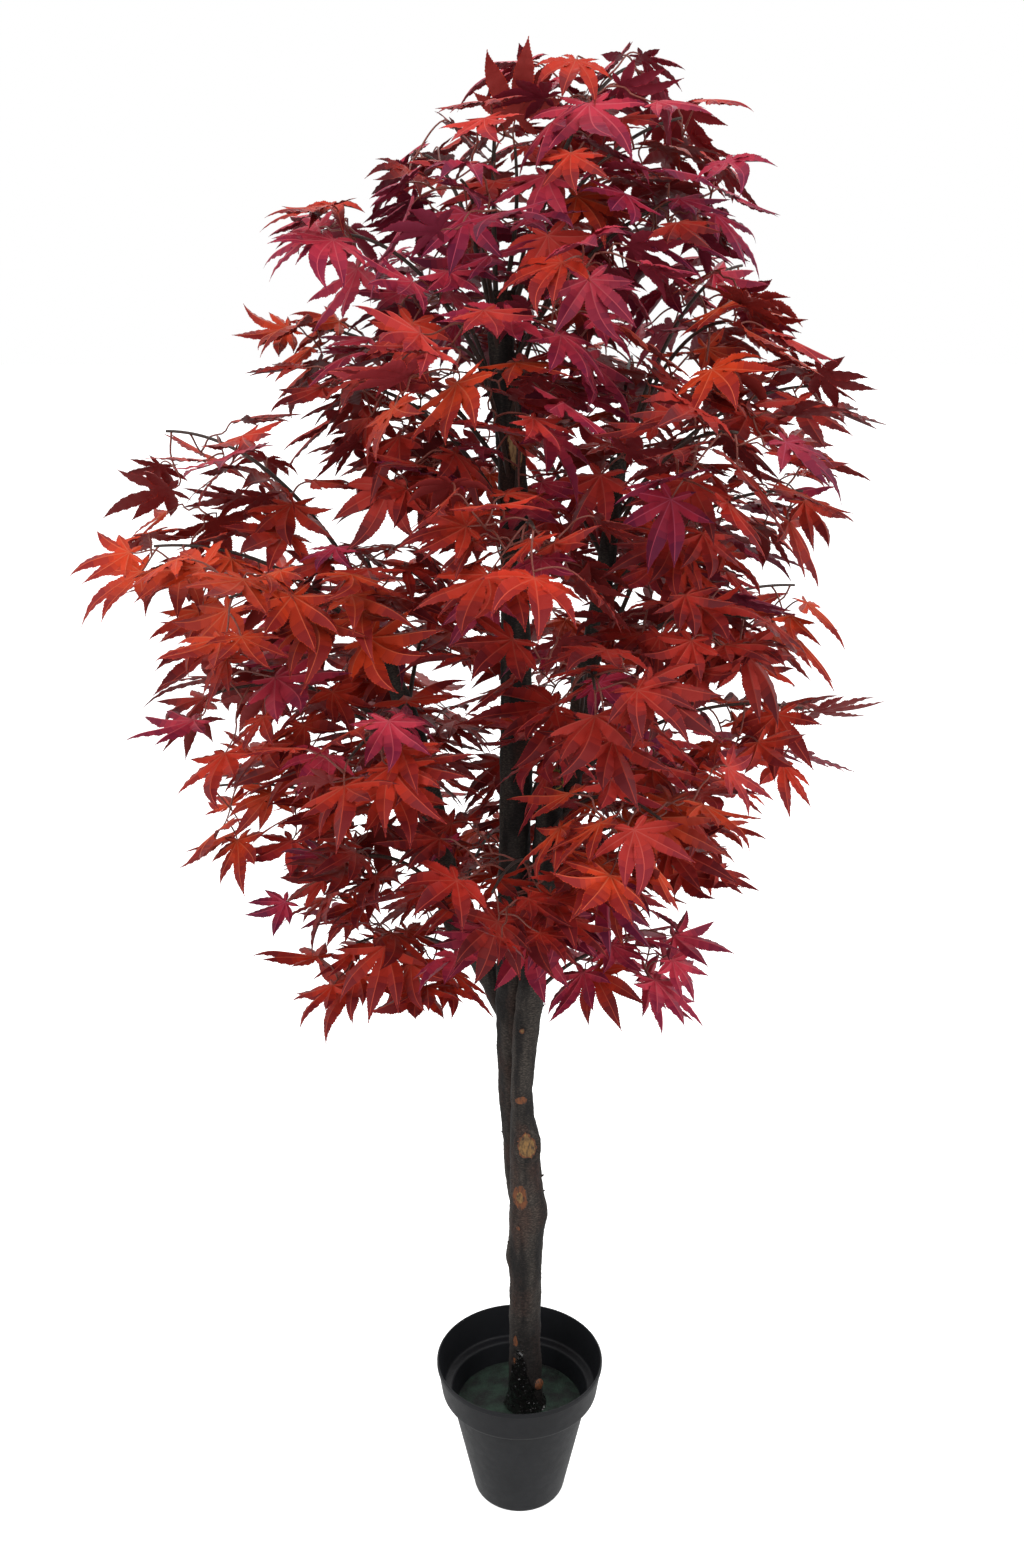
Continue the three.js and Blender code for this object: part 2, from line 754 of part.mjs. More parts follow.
// Whether each edge of a solid's faces is shared by exactly two of them.
function hasCleanEdges(solid) {
  const corners = tidiedFaces(solid.getMesh()).index.array;
  const edges = new Set();
  for (let i = 0; i < corners.length; i++) {
    const next = i % 3 === 2 ? i - 2 : i + 1;
    edges.add(`${corners[i]} ${corners[next]}`);
  }
  const paired = [...edges].every((edge) => edges.has(edge.split(" ").reverse().join(" ")));
  return paired && edges.size === corners.length;
}

// The stem, cut clear of the timber, with its leaves joined on. A leaf whose twig meets the stem so
// awkwardly that the join has a pinched edge is sunk a little deeper, or left out.
function spraySolid(s, timberSpace) {
  let spray = largestBody(stemSolid(s).subtract(timberSpace));
  for (const leaf of s.leaves) {
    for (const sunk of [0, 0.5, 1, 1.5]) {
      const joined = spray.add(leafSolid(leaf, sunk));
      if (joined.decompose().length > 1 || !hasCleanEdges(joined)) continue;
      spray = joined;
      break;
    }
  }
  return spray;
}

// ---------- the tree ----------

const plain = (color, roughness) => new THREE.MeshStandardMaterial({ color, roughness, metalness: 0 });
const POT_PLASTIC = plain(0x2b2c2f, 0.55);
const FILL_GREEN = plain(0x24352b, 0.9);
const BARK = plain(0x2f2a28, 0.95);
const LEAF_TINTS = [plain(0xb0301c, 0.7), plain(0x8e1f24, 0.7), plain(0x7a2038, 0.7)];

function maple() {
  const group = new THREE.Group();
  group.add(meshOf("pot", potSolid(), POT_PLASTIC));
  group.add(meshOf("fill", fillSolid(), FILL_GREEN));
  for (const [name, limb] of Object.entries(LIMBS)) {
    const details = name === "trunk" ? [...SAWN_STUBS.map(stubSolid), mossSolid()] : [];
    group.add(meshOf(name, wasm.Manifold.union([limbSolid(limb), ...details]), BARK));
  }
  const timberSpace = wasm.Manifold.union(Object.values(LIMBS).map((limb) => limbSolid(limb, GAP)));
  const sprays = allSprays();
  growFoliage(sprays);
  sprays.forEach((s, index) => {
    group.add(meshOf(s.name, spraySolid(s, timberSpace), LEAF_TINTS[index % LEAF_TINTS.length]));
  });
  return group;
}

const tree = maple();
export default tree;
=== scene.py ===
"""The looks of an artificial Japanese maple, 1.8 m tall, in a filled nursery pot.

The sprays grow by the CAD model's seeded rule, with its leaves at their real size, and the rule is carried on
with more leaves on finer twigs. Lengths are millimetres up to the making of a mesh. The front faces -Y.
"""

import json
import math
from functools import partial

import bpy
import numpy as np
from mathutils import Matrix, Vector, noise

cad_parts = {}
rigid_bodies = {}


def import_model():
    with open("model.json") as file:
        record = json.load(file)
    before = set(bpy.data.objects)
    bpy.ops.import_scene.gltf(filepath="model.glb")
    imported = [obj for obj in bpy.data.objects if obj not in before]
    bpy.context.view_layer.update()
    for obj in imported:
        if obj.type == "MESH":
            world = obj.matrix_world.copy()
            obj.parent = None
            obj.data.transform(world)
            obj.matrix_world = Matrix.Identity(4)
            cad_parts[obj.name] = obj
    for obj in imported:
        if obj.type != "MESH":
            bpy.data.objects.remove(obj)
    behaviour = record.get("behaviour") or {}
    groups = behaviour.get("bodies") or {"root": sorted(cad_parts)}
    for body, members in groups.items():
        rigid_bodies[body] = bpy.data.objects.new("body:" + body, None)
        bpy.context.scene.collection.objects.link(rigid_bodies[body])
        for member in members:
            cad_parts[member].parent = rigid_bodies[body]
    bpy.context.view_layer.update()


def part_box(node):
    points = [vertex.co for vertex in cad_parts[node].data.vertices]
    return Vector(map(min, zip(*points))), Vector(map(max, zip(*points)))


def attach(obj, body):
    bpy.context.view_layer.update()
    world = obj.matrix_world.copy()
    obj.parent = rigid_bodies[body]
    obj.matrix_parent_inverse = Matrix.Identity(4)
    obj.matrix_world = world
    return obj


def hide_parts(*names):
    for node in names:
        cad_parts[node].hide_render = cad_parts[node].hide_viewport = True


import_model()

MM = 0.001


def high_corner(node):
    """A CAD node's highest corner in millimetres."""
    low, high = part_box(node)
    return np.array(high) / MM


# ---------- the CAD model's named sizes ----------

TREE_TOP = 1800
SEED = 46
FILL_TOP = high_corner("fill")[2]
POT = {
    "height": high_corner("pot")[2], "rim": high_corner("pot")[0], "wall": 2.2, "collar": 49,
    "collar_foot": 102.5, "body_top": 91, "foot": 60.7,
}

# Each limb's stations from its foot to its cut tip: height, centre x, centre y, radius.
LIMBS = {
    "trunk": [
        (FILL_TOP + 0.3, 8, 0, 24.5), (165, 8, 0, 21.5), (300, 7, 0, 20.5), (420, 8, -1, 22),
        (520, 6, -4, 18), (600, 2, -7, 13.5), (700, 9, -8, 16.5), (860, 26, -10, 16), (1010, 36, -12, 14.5),
    ],
    "leader": [
        (395, -2, 29.3, 8), (470, -6, 28.8, 13.5), (655, -12, 21.6, 17), (870, -8, 7.5, 18),
        (1040, -5, 4, 19), (1256, -7, 2, 15.5), (1370, -11, 0, 15.5), (1480, -21, 0, 14.5),
        (1545, -20, 0, 12.5),
    ],
    "left_bough": [
        (678, -19, 48.1, 12.5), (745, -44, 44, 16), (815, -79, 30, 17), (965, -106, 12, 16.5),
        (1060, -124, 4, 13.5), (1130, -146, 0, 10.5), (1215, -163, -4, 8.5),
    ],
    "right_bough": [
        (940, 47, 9.6, 10.5), (975, 54, 9, 13), (1105, 72, 17, 12.5), (1240, 95, 26, 10.5),
        (1368, 108, 32, 8.5),
    ],
}
LIMBS = {name: np.array(stations, float) for name, stations in LIMBS.items()}

# The sprays that reach the crown's outline on its two sides: height of each one's lowest leaf tip, how far
# that tip is from the pot's centre, and its heading.
OUTLINE = {
    "left": [
        (700, 270, 176), (835, 305, 196), (890, 465, 170), (1070, 440, 203), (1035, 525, 160),
        (1215, 495, 184), (1340, 490, 176), (1400, 300, 200), (1455, 345, 162), (1555, 285, 190),
        (1640, 210, 168), (1675, 135, 205),
    ],
    "right": [
        (690, 235, 8), (885, 265, 338), (845, 360, 30), (1020, 405, 356), (1150, 355, 334), (1140, 440, 20),
        (1280, 400, 352), (1390, 425, 8), (1465, 325, 336), (1525, 375, 24), (1595, 290, 348),
        (1680, 280, 14), (1725, 220, 358),
    ],
}
# The crown's reach on its two sides, as height and distance from the pot's centre, and its other bounds.
CROWN = {
    "left": [
        (690, 260), (900, 430), (1100, 450), (1210, 500), (1345, 475), (1390, 310), (1560, 290), (1680, 130),
        (TREE_TOP, 30),
    ],
    "right": [
        (690, 230), (900, 290), (1010, 410), (1390, 410), (1460, 325), (1600, 295), (1730, 215),
        (TREE_TOP, 30),
    ],
    "front": 0.86, "back": 0.94, "floor": 680, "front_rise": 0.5, "slack": 1.04,
    "hang": (70, 20), "hang_from": 1400, "hang_over": 300,
}

# Further sprays: how many, the first one's height, the rise between them, their share of the crown's reach,
# and the headings that they take in turn.
RINGS = {
    "front": (10, 868, 82, 1, (262, 304, 236, 284, 218, 272, 316, 250, 290, 240)),
    "back": (10, 780, 91, 1, (98, 56, 124, 78, 138, 42)),
    "inner": (8, 800, 102, 0.58, (250, 70, 310, 130, 205, 25)),
}
STEM = {
    "base": 2.9, "tip": 1.5, "segments": 4, "arch": (0.16, -0.08), "droop": (52, 18),
    "rooted": 0.5,  # share of the limb's radius at which the stem starts
    "peak": 0.45,  # share of the way at which its arch is highest
    "above_foot": (45, 30),  # lowest root above a limb's foot, when it is chosen and when it slides
    "below_tip": 6, "clear": 9.5, "bend": 7, "slide": 4, "tries": 31,
}
LIFT = {"low": -45, "high": 150, "from": 700, "to": 1700}
TWIG = {"short": 16, "long": 85, "sunk": 6, "swing": (20, 110), "fall": -0.6, "rise": 0.9}
LEAF = {
    "length": 104, "sizes": (0.85, 1.05), "on_spray": 7, "first": 0.32, "last": 0.96,
    "droop": 66, "roll": 60, "outward": 0.35, "curl": 0.2, "tries": 50,
}
GAPS = {"leaf": 8, "other": 13, "wire": 10, "twig": 9, "limb": 4, "limb_end": 16}
# A leaf's outline seen from above: angle from the middle lobe in degrees, and distance from the stalk.
LEAF_ANGLES = np.radians([0, 19, 40, 64, 100, 260, 296, 320, 341])
LEAF_REACH = np.array([1, 0.34, 0.86, 0.28, 0.6, 0.6, 0.28, 0.86, 0.34])

# ---------- what the scene adds to the rule ----------

REAL_LENGTH = 86  # of a leaf whose CAD solid is LEAF["length"] long
# How far a leaf of the CAD model is lifted towards level about its tip: the first of these that has room.
LEVEL_SHARES = np.array([[0.85, 0.6, 0.3], [0.6, 0.3, 0.15], [0.35, 0.2, 0.1]])
FINER = {
    "rounds": 4,  # each settled leaf's twig is asked for a further leaf this many times
    "most": 930,  # leaves in all
    "from": (0.2, 0.85),  # where the finer twig leaves the first one
    "swing": (25, 120), "long": (18, 62), "droop": (-12, 44), "roll": 70, "sizes": (0.5, 0.78), "tries": 14,
    "gaps": {"leaf": 4.5, "other": 5, "wire": 4, "twig": 3.5},
}
TWIG_WAVE = {"turns": 2.2, "reach": 0.07}

# ---------- small tools ----------


def lerp(a, b, t):
    return a + (b - a) * t


def unit(v):
    return v / np.linalg.norm(v, axis=-1, keepdims=True)


def smoothstep(low, high, x):
    t = np.clip((x - low) / (high - low), 0, 1)
    return t * t * (3 - 2 * t)


def seeded(seed, count, tries):
    """So many numbers from 0 to 1 for each try, the same on every run."""
    state = (seed * 2654435761 + 12345) % 2**32
    numbers = []
    for _ in range(2 + count * tries):
        state = (state * 1664525 + 1013904223) % 2**32
        numbers.append(state / 2**32)
    return np.array(numbers[2:]).reshape(tries, count).T


def turn(v, axis, angle):
    """Vectors turned about unit axes at right angles to them."""
    return v * np.cos(angle)[..., None] + np.cross(axis, v) * np.sin(angle)[..., None]


def heading_of(degrees):
    return np.array([math.cos(math.radians(degrees)), math.sin(math.radians(degrees)), 0])


def polar(radius, angle, height):
    return np.stack(np.broadcast_arrays(radius * np.cos(angle), radius * np.sin(angle), height), axis=-1)


def limb_at(limb, heights):
    """Centres and radii of a limb at some heights, on a smooth curve through its stations."""
    heights = np.asarray(heights, float)
    last = len(limb) - 1
    i = np.clip(np.searchsorted(limb[1:last, 0], heights, side="left"), 0, last - 1)
    a, b = limb[i], limb[i + 1]
    before, after = limb[np.maximum(i - 1, 0)], limb[np.minimum(i + 2, last)]
    span = b[..., :1] - a[..., :1]
    t = np.clip((heights[..., None] - a[..., :1]) / span, 0, 1)
    slope_a = (b - before) / (b[..., :1] - before[..., :1])
    slope_b = (after - a) / (after[..., :1] - a[..., :1])
    rows = (
        a * (1 + 2 * t) * (1 - t) ** 2
        + slope_a * span * t * (1 - t) ** 2
        + b * t * t * (3 - 2 * t)
        + slope_b * span * t * t * (t - 1)
    )
    return np.concatenate([rows[..., 1:3], heights[..., None]], axis=-1), rows[..., 3]


# ---------- sprays: where each one leaves its limb and where it ends ----------


class Spray:
    """A wired stem, from its root in a limb to the foot of its end leaf."""

    def __init__(self, name, limb, start, middle, end, droop, outward):
        self.name, self.limb, self.droop, self.outward = name, limb, droop, outward
        self.start, self.middle, self.end = start, middle, end

    def at(self, t):
        t = np.asarray(t, float)[..., None]
        return self.start * (1 - t) ** 2 + self.middle * 2 * t * (1 - t) + self.end * t * t

    def direction(self, t):
        t = np.asarray(t, float)[..., None]
        return unit((self.middle - self.start) * (1 - t) + (self.end - self.middle) * t)

    def line(self, count=STEM["segments"]):
        return self.at(np.linspace(0, 1, count + 1))

    def on_line(self, t):
        """Points on the straight lengths that the CAD model's stem is made of."""
        line, at = self.line(), t * STEM["segments"]
        i = np.minimum(at.astype(int), STEM["segments"] - 1)
        return lerp(line[i], line[i + 1], (at - i)[..., None])


def crown_reach(x, y, height):
    """Distance of the crown's outline from the pot's centre towards level directions at some heights."""
    left, right = (np.interp(height, *zip(*CROWN[side])) for side in ("left", "right"))
    depth = np.where(y < 0, CROWN["front"], CROWN["back"])
    return lerp(depth * (left + right) / 2, np.where(x < 0, left, right), x * x)


def inside_crown(points):
    """Whether each point is in the crown. A leaf may pass its outline by as much as it hangs."""
    x, y, z = np.moveaxis(points, -1, 0)
    r = np.hypot(x, y)
    low = CROWN["floor"] + CROWN["front_rise"] * np.maximum(0, -y)
    hang = lerp(*CROWN["hang"], np.clip((z - CROWN["hang_from"]) / CROWN["hang_over"], 0, 1))
    reach = np.max([crown_reach(x / r, y / r, z - share * hang) for share in (0, 0.5, 1)], axis=0)
    return (z <= TREE_TOP) & (z >= low) & (r < CROWN["slack"] * reach)


def inside_limb(points, limb, gap=0):
    z = points[..., 2]
    centre, radius = limb_at(limb, z)
    near = np.hypot(*np.moveaxis((points - centre)[..., :2], -1, 0)) < radius + gap
    top = limb[-1, 0] + (GAPS["limb_end"] if gap else 0)
    return near & (z >= limb[0, 0] - gap) & (z <= top)


def clear_of_limbs(points, but=None):
    """Whether each point keeps off every limb but one."""
    clear = np.ones(points.shape[:-1], bool)
    for name, limb in LIMBS.items():
        if name != but:
            clear &= ~inside_limb(points, limb, GAPS["limb"])
    return clear


def distances(points, starts, ends):
    """Distance of each point, down the rows, from each straight line, across."""
    way = ends - starts
    from_start = points[:, None] - starts
    t = np.clip(np.sum(from_start * way, -1) / np.maximum(np.sum(way * way, -1), 1e-9), 0, 1)
    return np.linalg.norm(from_start - t[..., None] * way, axis=-1)


def limb_for(outward, height):
    """The limb that stands furthest out towards a heading, and the height on it nearest the one asked for."""
    best = None
    for name, limb in LIMBS.items():
        z = np.clip(height, limb[0, 0] + STEM["above_foot"][0], limb[-1, 0] - STEM["below_tip"])
        centre, radius = limb_at(limb, z)
        score = centre @ outward - 2.5 * abs(z - height)
        if best is None or score > best[0]:
            best = (score, name, centre, radius)
    return best[1:]


def spray(name, heading, tip, reach):
    """An arch from a limb's surface to the foot of its end leaf, whose tip is the spray's tip."""
    outward = heading_of(heading)
    high = np.clip((tip - LIFT["from"]) / (LIFT["to"] - LIFT["from"]), 0, 1)
    droop = lerp(*STEM["droop"], high)
    run = LEAF["length"] + 10
    end = outward * (reach - run * math.cos(math.radians(droop)))
    end[2] = tip + run * math.sin(math.radians(droop))
    limb, centre, radius = limb_for(outward, tip - lerp(LIFT["low"], LIFT["high"], high))
    start = centre + outward * radius * STEM["rooted"]
    middle = lerp(start, end, STEM["peak"])
    middle[2] = max(start[2], end[2]) + lerp(*STEM["arch"], high) * np.linalg.norm(start - end)
    return Spray(name, limb, start, middle, end, droop, outward)


def top_spray():
    """The spray at the very top stands upright on the leader's cut tip."""
    start = limb_at(LIMBS["leader"], LIMBS["leader"][-1, 0])[0] - (0, 0, 10)
    end = np.array([-7.0, -12, TREE_TOP - LEAF["length"] - 12])
    middle = lerp(start, end, 0.5) + (14, 4, 0)
    return Spray("foliage_top", "leader", start, middle, end, -84, np.array([0.0, -1, 0]))


def settle_stem(s, settled):
    """Bends a stem round and slides it down its limb until it is clear of the other stems and the timber."""
    limb = LIMBS[s.limb]
    side = unit(np.cross(s.end - s.start, (0, 0, 1)))
    height, straight = s.start[2], s.middle
    lines = np.array([other.line() for other in settled]).reshape(-1, STEM["segments"] + 1, 3)
    starts, ends = lines[:, :-1].reshape(-1, 3), lines[:, 1:].reshape(-1, 3)
    best = (-1,)
    for attempt in range(STEM["tries"]):
        if best[0] >= STEM["clear"]:
            break
        lowest, highest = limb[0, 0] + STEM["above_foot"][1], limb[-1, 0] - STEM["below_tip"]
        z = np.clip(height - attempt * STEM["slide"], lowest, highest)
        centre, radius = limb_at(limb, z)
        s.start = centre + s.outward * radius * STEM["rooted"]
        bend = math.ceil(attempt / 2) * (1 if attempt % 2 else -1) * STEM["bend"]
        s.middle = straight + side * bend
        spots = s.line(40)
        spots = spots[~inside_limb(spots, limb)]
        clearance = math.inf if clear_of_limbs(spots, but=s.limb).all() else 0
        if len(starts):
            clearance = min(clearance, distances(spots, starts, ends).min())
        if clearance > best[0]:
            best = (clearance, s.start, s.middle)
    s.start, s.middle = best[1:]
    settled.append(s)


def all_sprays():
    made = [top_spray()]
    for side, tips in OUTLINE.items():
        for i, (height, reach, heading) in enumerate(tips, 1):
            made.append(spray(f"foliage_{side}_{i}", heading, height, reach))
    for name, (count, low, rise, share, headings) in RINGS.items():
        for i in range(count):
            heading = headings[i % len(headings)]
            reach = crown_reach(*heading_of(heading)[:2], low + i * rise)
            made.append(spray(f"foliage_{name}_{i + 1}", heading, low + i * rise, share * reach))
    settled = []
    for s in made:
        s.index = len(settled)
        settle_stem(s, settled)
    return settled


# ---------- leaves: where each one is ----------


class Leaves:
    """Some leaves, as arrays: where each one's twig is rooted, its foot, the ways that its middle lobe and
    upper face point, its size, and what its room is judged by. The CAD model's leaves curl down."""

    PARTS = ("root", "foot", "forward", "normal", "size")
    MEASURES = ("spots", "twig_spots", "middle", "faces", "edges")

    def __init__(self, root, foot, forward, normal, size, curl=0.0):
        self.root, self.foot, self.forward, self.normal, self.size = root, foot, forward, normal, size
        side = np.cross(normal, forward)
        reach = size[:, None] * LEAF_REACH
        self.ring = (
            foot[:, None]
            + forward[:, None] * (reach * np.cos(LEAF_ANGLES))[..., None]
            + side[:, None] * (reach * np.sin(LEAF_ANGLES))[..., None]
            - normal[:, None] * (reach * LEAF_REACH * curl)[..., None]
        )
        centre = foot[:, None]
        inwards = [lerp(self.ring, centre, share) for share in (0.25, 0.5, 0.75)]
        self.spots = np.concatenate([self.ring, *inwards, centre], axis=1)
        along = np.array([0.12, 0.25, 0.38, 0.51, 0.64, 0.77, 0.9])[:, None]
        self.twig_spots = lerp(root[:, None], foot[:, None], along)
        self.middle = foot + forward * (0.4 * size)[:, None]
        following = np.roll(self.ring, -1, axis=1)
        centres = np.broadcast_to(centre, self.ring.shape)
        self.faces = np.stack([centres, self.ring, following], axis=2)
        rims = np.stack([self.ring, following], axis=2)
        spokes = np.stack([centres, self.ring], axis=2)
        twigs = np.stack([root, foot], axis=1)[:, None]
        self.edges = np.concatenate([rims, spokes, twigs], axis=1)


def leaf_places(s, k):
    """Every way that leaf number k of a spray is tried. Leaf number 0 ends the stem."""
    is_end = k == 0
    count = (4 if s.droop < 0 else 5) if is_end else 8
    draws = iter(seeded(SEED + s.index * 97 + k, count, LEAF["tries"]))
    t = np.ones(LEAF["tries"]) if is_end else lerp(LEAF["first"], LEAF["last"], next(draws))
    sides = np.where((k + np.arange(len(t))) % 2, 1, -1)
    swing = 30 * (next(draws) - 0.5) if is_end else sides * lerp(*TWIG["swing"], next(draws))
    along = s.direction(t)
    root = s.on_line(t)
    twig_way = swung(along, s.outward, swing)
    if is_end:
        foot = root + along * TWIG["short"] * 0.6
        root = root - along * TWIG["sunk"]
    else:
        rise = lerp(TWIG["fall"], TWIG["rise"], next(draws))
        length = lerp(TWIG["short"], TWIG["long"], next(draws) ** 1.5)
        foot = root + unit(twig_way + rise[:, None] * (0, 0, 1)) * length[:, None]
    droop = np.full(len(t), s.droop) if count == 4 else lerp(0, LEAF["droop"], next(draws))
    return drooping_leaves(s, root, foot, twig_way, droop, draws, LEAF, LEAF["curl"]), t


def swung(along, outward, degrees):
    """The level ways of some directions, or outward where they are upright, turned about +Z."""
    level = along * (1, 1, 0)
    level = np.where(np.linalg.norm(level, axis=-1, keepdims=True) < 0.3, outward, level)
    return turn(unit(level), np.broadcast_to((0.0, 0, 1), level.shape), np.radians(degrees))


def drooping_leaves(s, root, foot, twig_way, droop, draws, rule, curl=0.0):
    """Leaves that turn from their twigs' level ways towards the spray's, fall and roll."""
    aside, rolled, sized = draws
    way = unit(lerp(twig_way, s.outward, LEAF["outward"] * aside[:, None]))
    droop = np.radians(droop)[:, None]
    up = np.array([0, 0, 1])
    forward = way * np.cos(droop) - up * np.sin(droop)
    normal = way * np.sin(droop) + up * np.cos(droop)
    normal = turn(normal, forward, np.radians(rule["roll"] * (rolled - 0.5)))
    return Leaves(root, foot, forward, normal, LEAF["length"] * lerp(*rule["sizes"], sized), curl)


def pierces(lines, triangles):
    """Whether any straight line, two points each, passes through any triangle."""
    origin = lines[:, None, 0]
    way = lines[:, None, 1] - origin
    a, b, c = triangles[None, :, 0], triangles[None, :, 1], triangles[None, :, 2]
    edge1, edge2 = b - a, c - a
    across = np.cross(way, edge2)
    size = np.sum(edge1 * across, -1)
    size = np.where(size == 0, 1e-12, size)
    off = origin - a
    u = np.sum(off * across, -1) / size
    q = np.cross(off, edge1)
    v = np.sum(way * q, -1) / size
    t = np.sum(edge2 * q, -1) / size
    return bool(np.any((u >= 0) & (v >= 0) & (u + v <= 1) & (t >= 0) & (t < 1)))


class Foliage:
    """The leaves that have settled, with the room that each takes."""

    def __init__(self, sprays):
        self.sprays = sprays
        lines = np.array([s.line() for s in sprays])
        self.pieces = np.stack([lines[:, :-1], lines[:, 1:]], axis=2)
        self.spray, self.parent, self.share = [], [], []
        self.held = {part: [] for part in Leaves.PARTS + Leaves.MEASURES}

    def clear_of_stems(self, leaves, i, own, wire):
        """Whether a leaf and its twig keep off every stem. Its twig may meet its own."""
        flat = self.pieces.reshape(-1, 2, 3)
        near = distances(leaves.middle[i : i + 1], flat[:, 0], flat[:, 1])[0]
        near = near.reshape(len(self.sprays), -1).min(axis=1) <= 1.2 * LEAF["length"]
        points = np.concatenate([leaves.spots[i], leaves.twig_spots[i]])
        for other in np.flatnonzero(near):
            mine = leaves.ring[i] if other == own else points
            line = self.pieces[other]
            if distances(mine, line[:, 0], line[:, 1]).min() < wire or pierces(line, leaves.faces[i]):
                return False
        return True

    def clear_of_leaves(self, leaves, i, own, gaps, but=None):
        """Whether a leaf and its twig keep off the leaves and twigs that are there already, but for one."""
        if not self.spray:
            return True
        gap = np.where(np.array(self.spray) == own, gaps["leaf"], gaps["other"])
        away = np.linalg.norm(np.array(self.held["middle"]) - leaves.middle[i], axis=1)
        if but is not None:
            away[but] = math.inf
        near = np.flatnonzero(away <= 1.6 * LEAF["length"] + gap)
        if not len(near):
            return True
        spots, twigs = (np.array([self.held[part][n] for n in near]) for part in ("spots", "twig_spots"))

        def nearest(these, those):
            return np.linalg.norm(these[None, :, None] - those[:, None], axis=-1).min(axis=(1, 2))

        if np.any(nearest(leaves.spots[i], spots) <= gap[near]):
            return False
        if np.any(nearest(leaves.twig_spots[i], np.concatenate([spots, twigs], axis=1)) <= gaps["twig"]):
            return False
        if np.any(nearest(leaves.spots[i], twigs) <= gaps["twig"]):
            return False
        touching = near[away[near] <= 1.6 * LEAF["length"]]
        if not len(touching):
            return True
        faces = np.concatenate([self.held["faces"][n] for n in touching])
        edges = np.concatenate([self.held["edges"][n] for n in touching])
        return not pierces(leaves.edges[i], faces) and not pierces(edges, leaves.faces[i])

    def first_with_room(self, leaves, own, gaps, but=None):
        """The first of some leaves that is in the crown and clear of everything, or None."""
        twig = leaves.foot - leaves.root
        good = np.sum(twig * leaves.forward, -1) >= 0.05 * np.linalg.norm(twig, axis=-1)
        points = np.concatenate([leaves.spots, leaves.twig_spots], axis=1)
        good &= (inside_crown(points) & clear_of_limbs(points)).all(axis=1)
        for i in np.flatnonzero(good):
            if self.clear_of_stems(leaves, i, own, gaps["wire"]):
                if self.clear_of_leaves(leaves, i, own, gaps, but):
                    return i
        return None

    def leaves(self):
        return Leaves(*(np.array(self.held[part]) for part in Leaves.PARTS))

    def to_real_size(self):
        """Makes every leaf flat and its real size. Its tip stays, and its foot moves out."""
        leaves = self.leaves()
        curl = leaves.normal * LEAF["curl"]
        tip = leaves.foot + (leaves.forward - curl) * leaves.size[:, None]
        forward = unit(leaves.forward - curl)
        normal = unit(leaves.normal + leaves.forward * LEAF["curl"])
        size = leaves.size * REAL_LENGTH / LEAF["length"]
        real = Leaves(leaves.root, tip - forward * size[:, None], forward, normal, size)
        self.held = {part: list(getattr(real, part)) for part in self.held}

    def lift_leaves(self):
        """Lifts each hanging leaf towards level about its tip, as far as it finds room."""
        leaves = self.leaves()
        for n, own in enumerate(self.spray):
            if self.sprays[own].droop < 0:
                continue
            forward, normal, size = leaves.forward[n], leaves.normal[n], leaves.size[n]
            shares = LEVEL_SHARES[n % len(LEVEL_SHARES)][:, None]
            ways = unit(lerp(forward, unit(forward * (1, 1, 0)), shares))
            normals = unit(normal - ways * np.sum(ways * normal, -1, keepdims=True))
            feet = leaves.foot[n] + (forward - ways) * size
            roots = np.repeat(leaves.root[n : n + 1], len(ways), axis=0)
            lifted = Leaves(roots, feet, ways, normals, np.full(len(ways), size))
            i = self.first_with_room(lifted, own, FINER["gaps"], n)
            if i is not None:
                for part, rows in self.held.items():
                    rows[n] = getattr(lifted, part)[i]

    def grow(self, leaves, shares, own, gaps, parent=-1):
        """Keeps the first of some leaves that has room."""
        i = self.first_with_room(leaves, own, gaps)
        if i is None:
            return
        for part, rows in self.held.items():
            rows.append(getattr(leaves, part)[i])
        self.spray.append(own)
        self.parent.append(parent)
        self.share.append(shares[i])

    def grow_first(self):
        """The CAD model's leaves: one on each spray in turn."""
        for k in range(LEAF["on_spray"]):
            for s in self.sprays:
                self.grow(*leaf_places(s, k), s.index, GAPS)

    def grow_finer(self):
        """Further leaves, on twigs that branch off those of the leaves there are, the innermost first."""
        for round_number in range(FINER["rounds"]):
            from_axis = np.linalg.norm(np.array(self.held["foot"])[:, :2], axis=1)
            for parent in np.argsort(from_axis, kind="stable"):
                if len(self.spray) >= FINER["most"]:
                    return
                places = finer_places(self, parent, SEED + 1000 * round_number + parent)
                self.grow(*places, self.spray[parent], FINER["gaps"], parent)


def finer_places(foliage, parent, seed):
    """The ways that a further leaf is tried on a finer twig, which branches off a settled leaf's twig."""
    draws = np.random.default_rng(seed).random((8, FINER["tries"]))
    s = foliage.sprays[foliage.spray[parent]]
    curve = twig_curve(foliage, parent)
    share = lerp(*FINER["from"], draws[0])
    root = on_curve(curve, share)
    along = unit(curve[3] - curve[0])[None].repeat(FINER["tries"], axis=0)
    swing = np.where(draws[1] < 0.5, -1, 1) * lerp(*FINER["swing"], draws[2])
    twig_way = swung(along, s.outward, swing)
    rise = lerp(TWIG["fall"], TWIG["rise"], draws[3])
    foot = root + unit(twig_way + rise[:, None] * (0, 0, 1)) * lerp(*FINER["long"], draws[4])[:, None]
    droop = lerp(*FINER["droop"], draws[5])
    return drooping_leaves(s, root, foot, twig_way, droop, draws[[0, 6, 7]], FINER), share


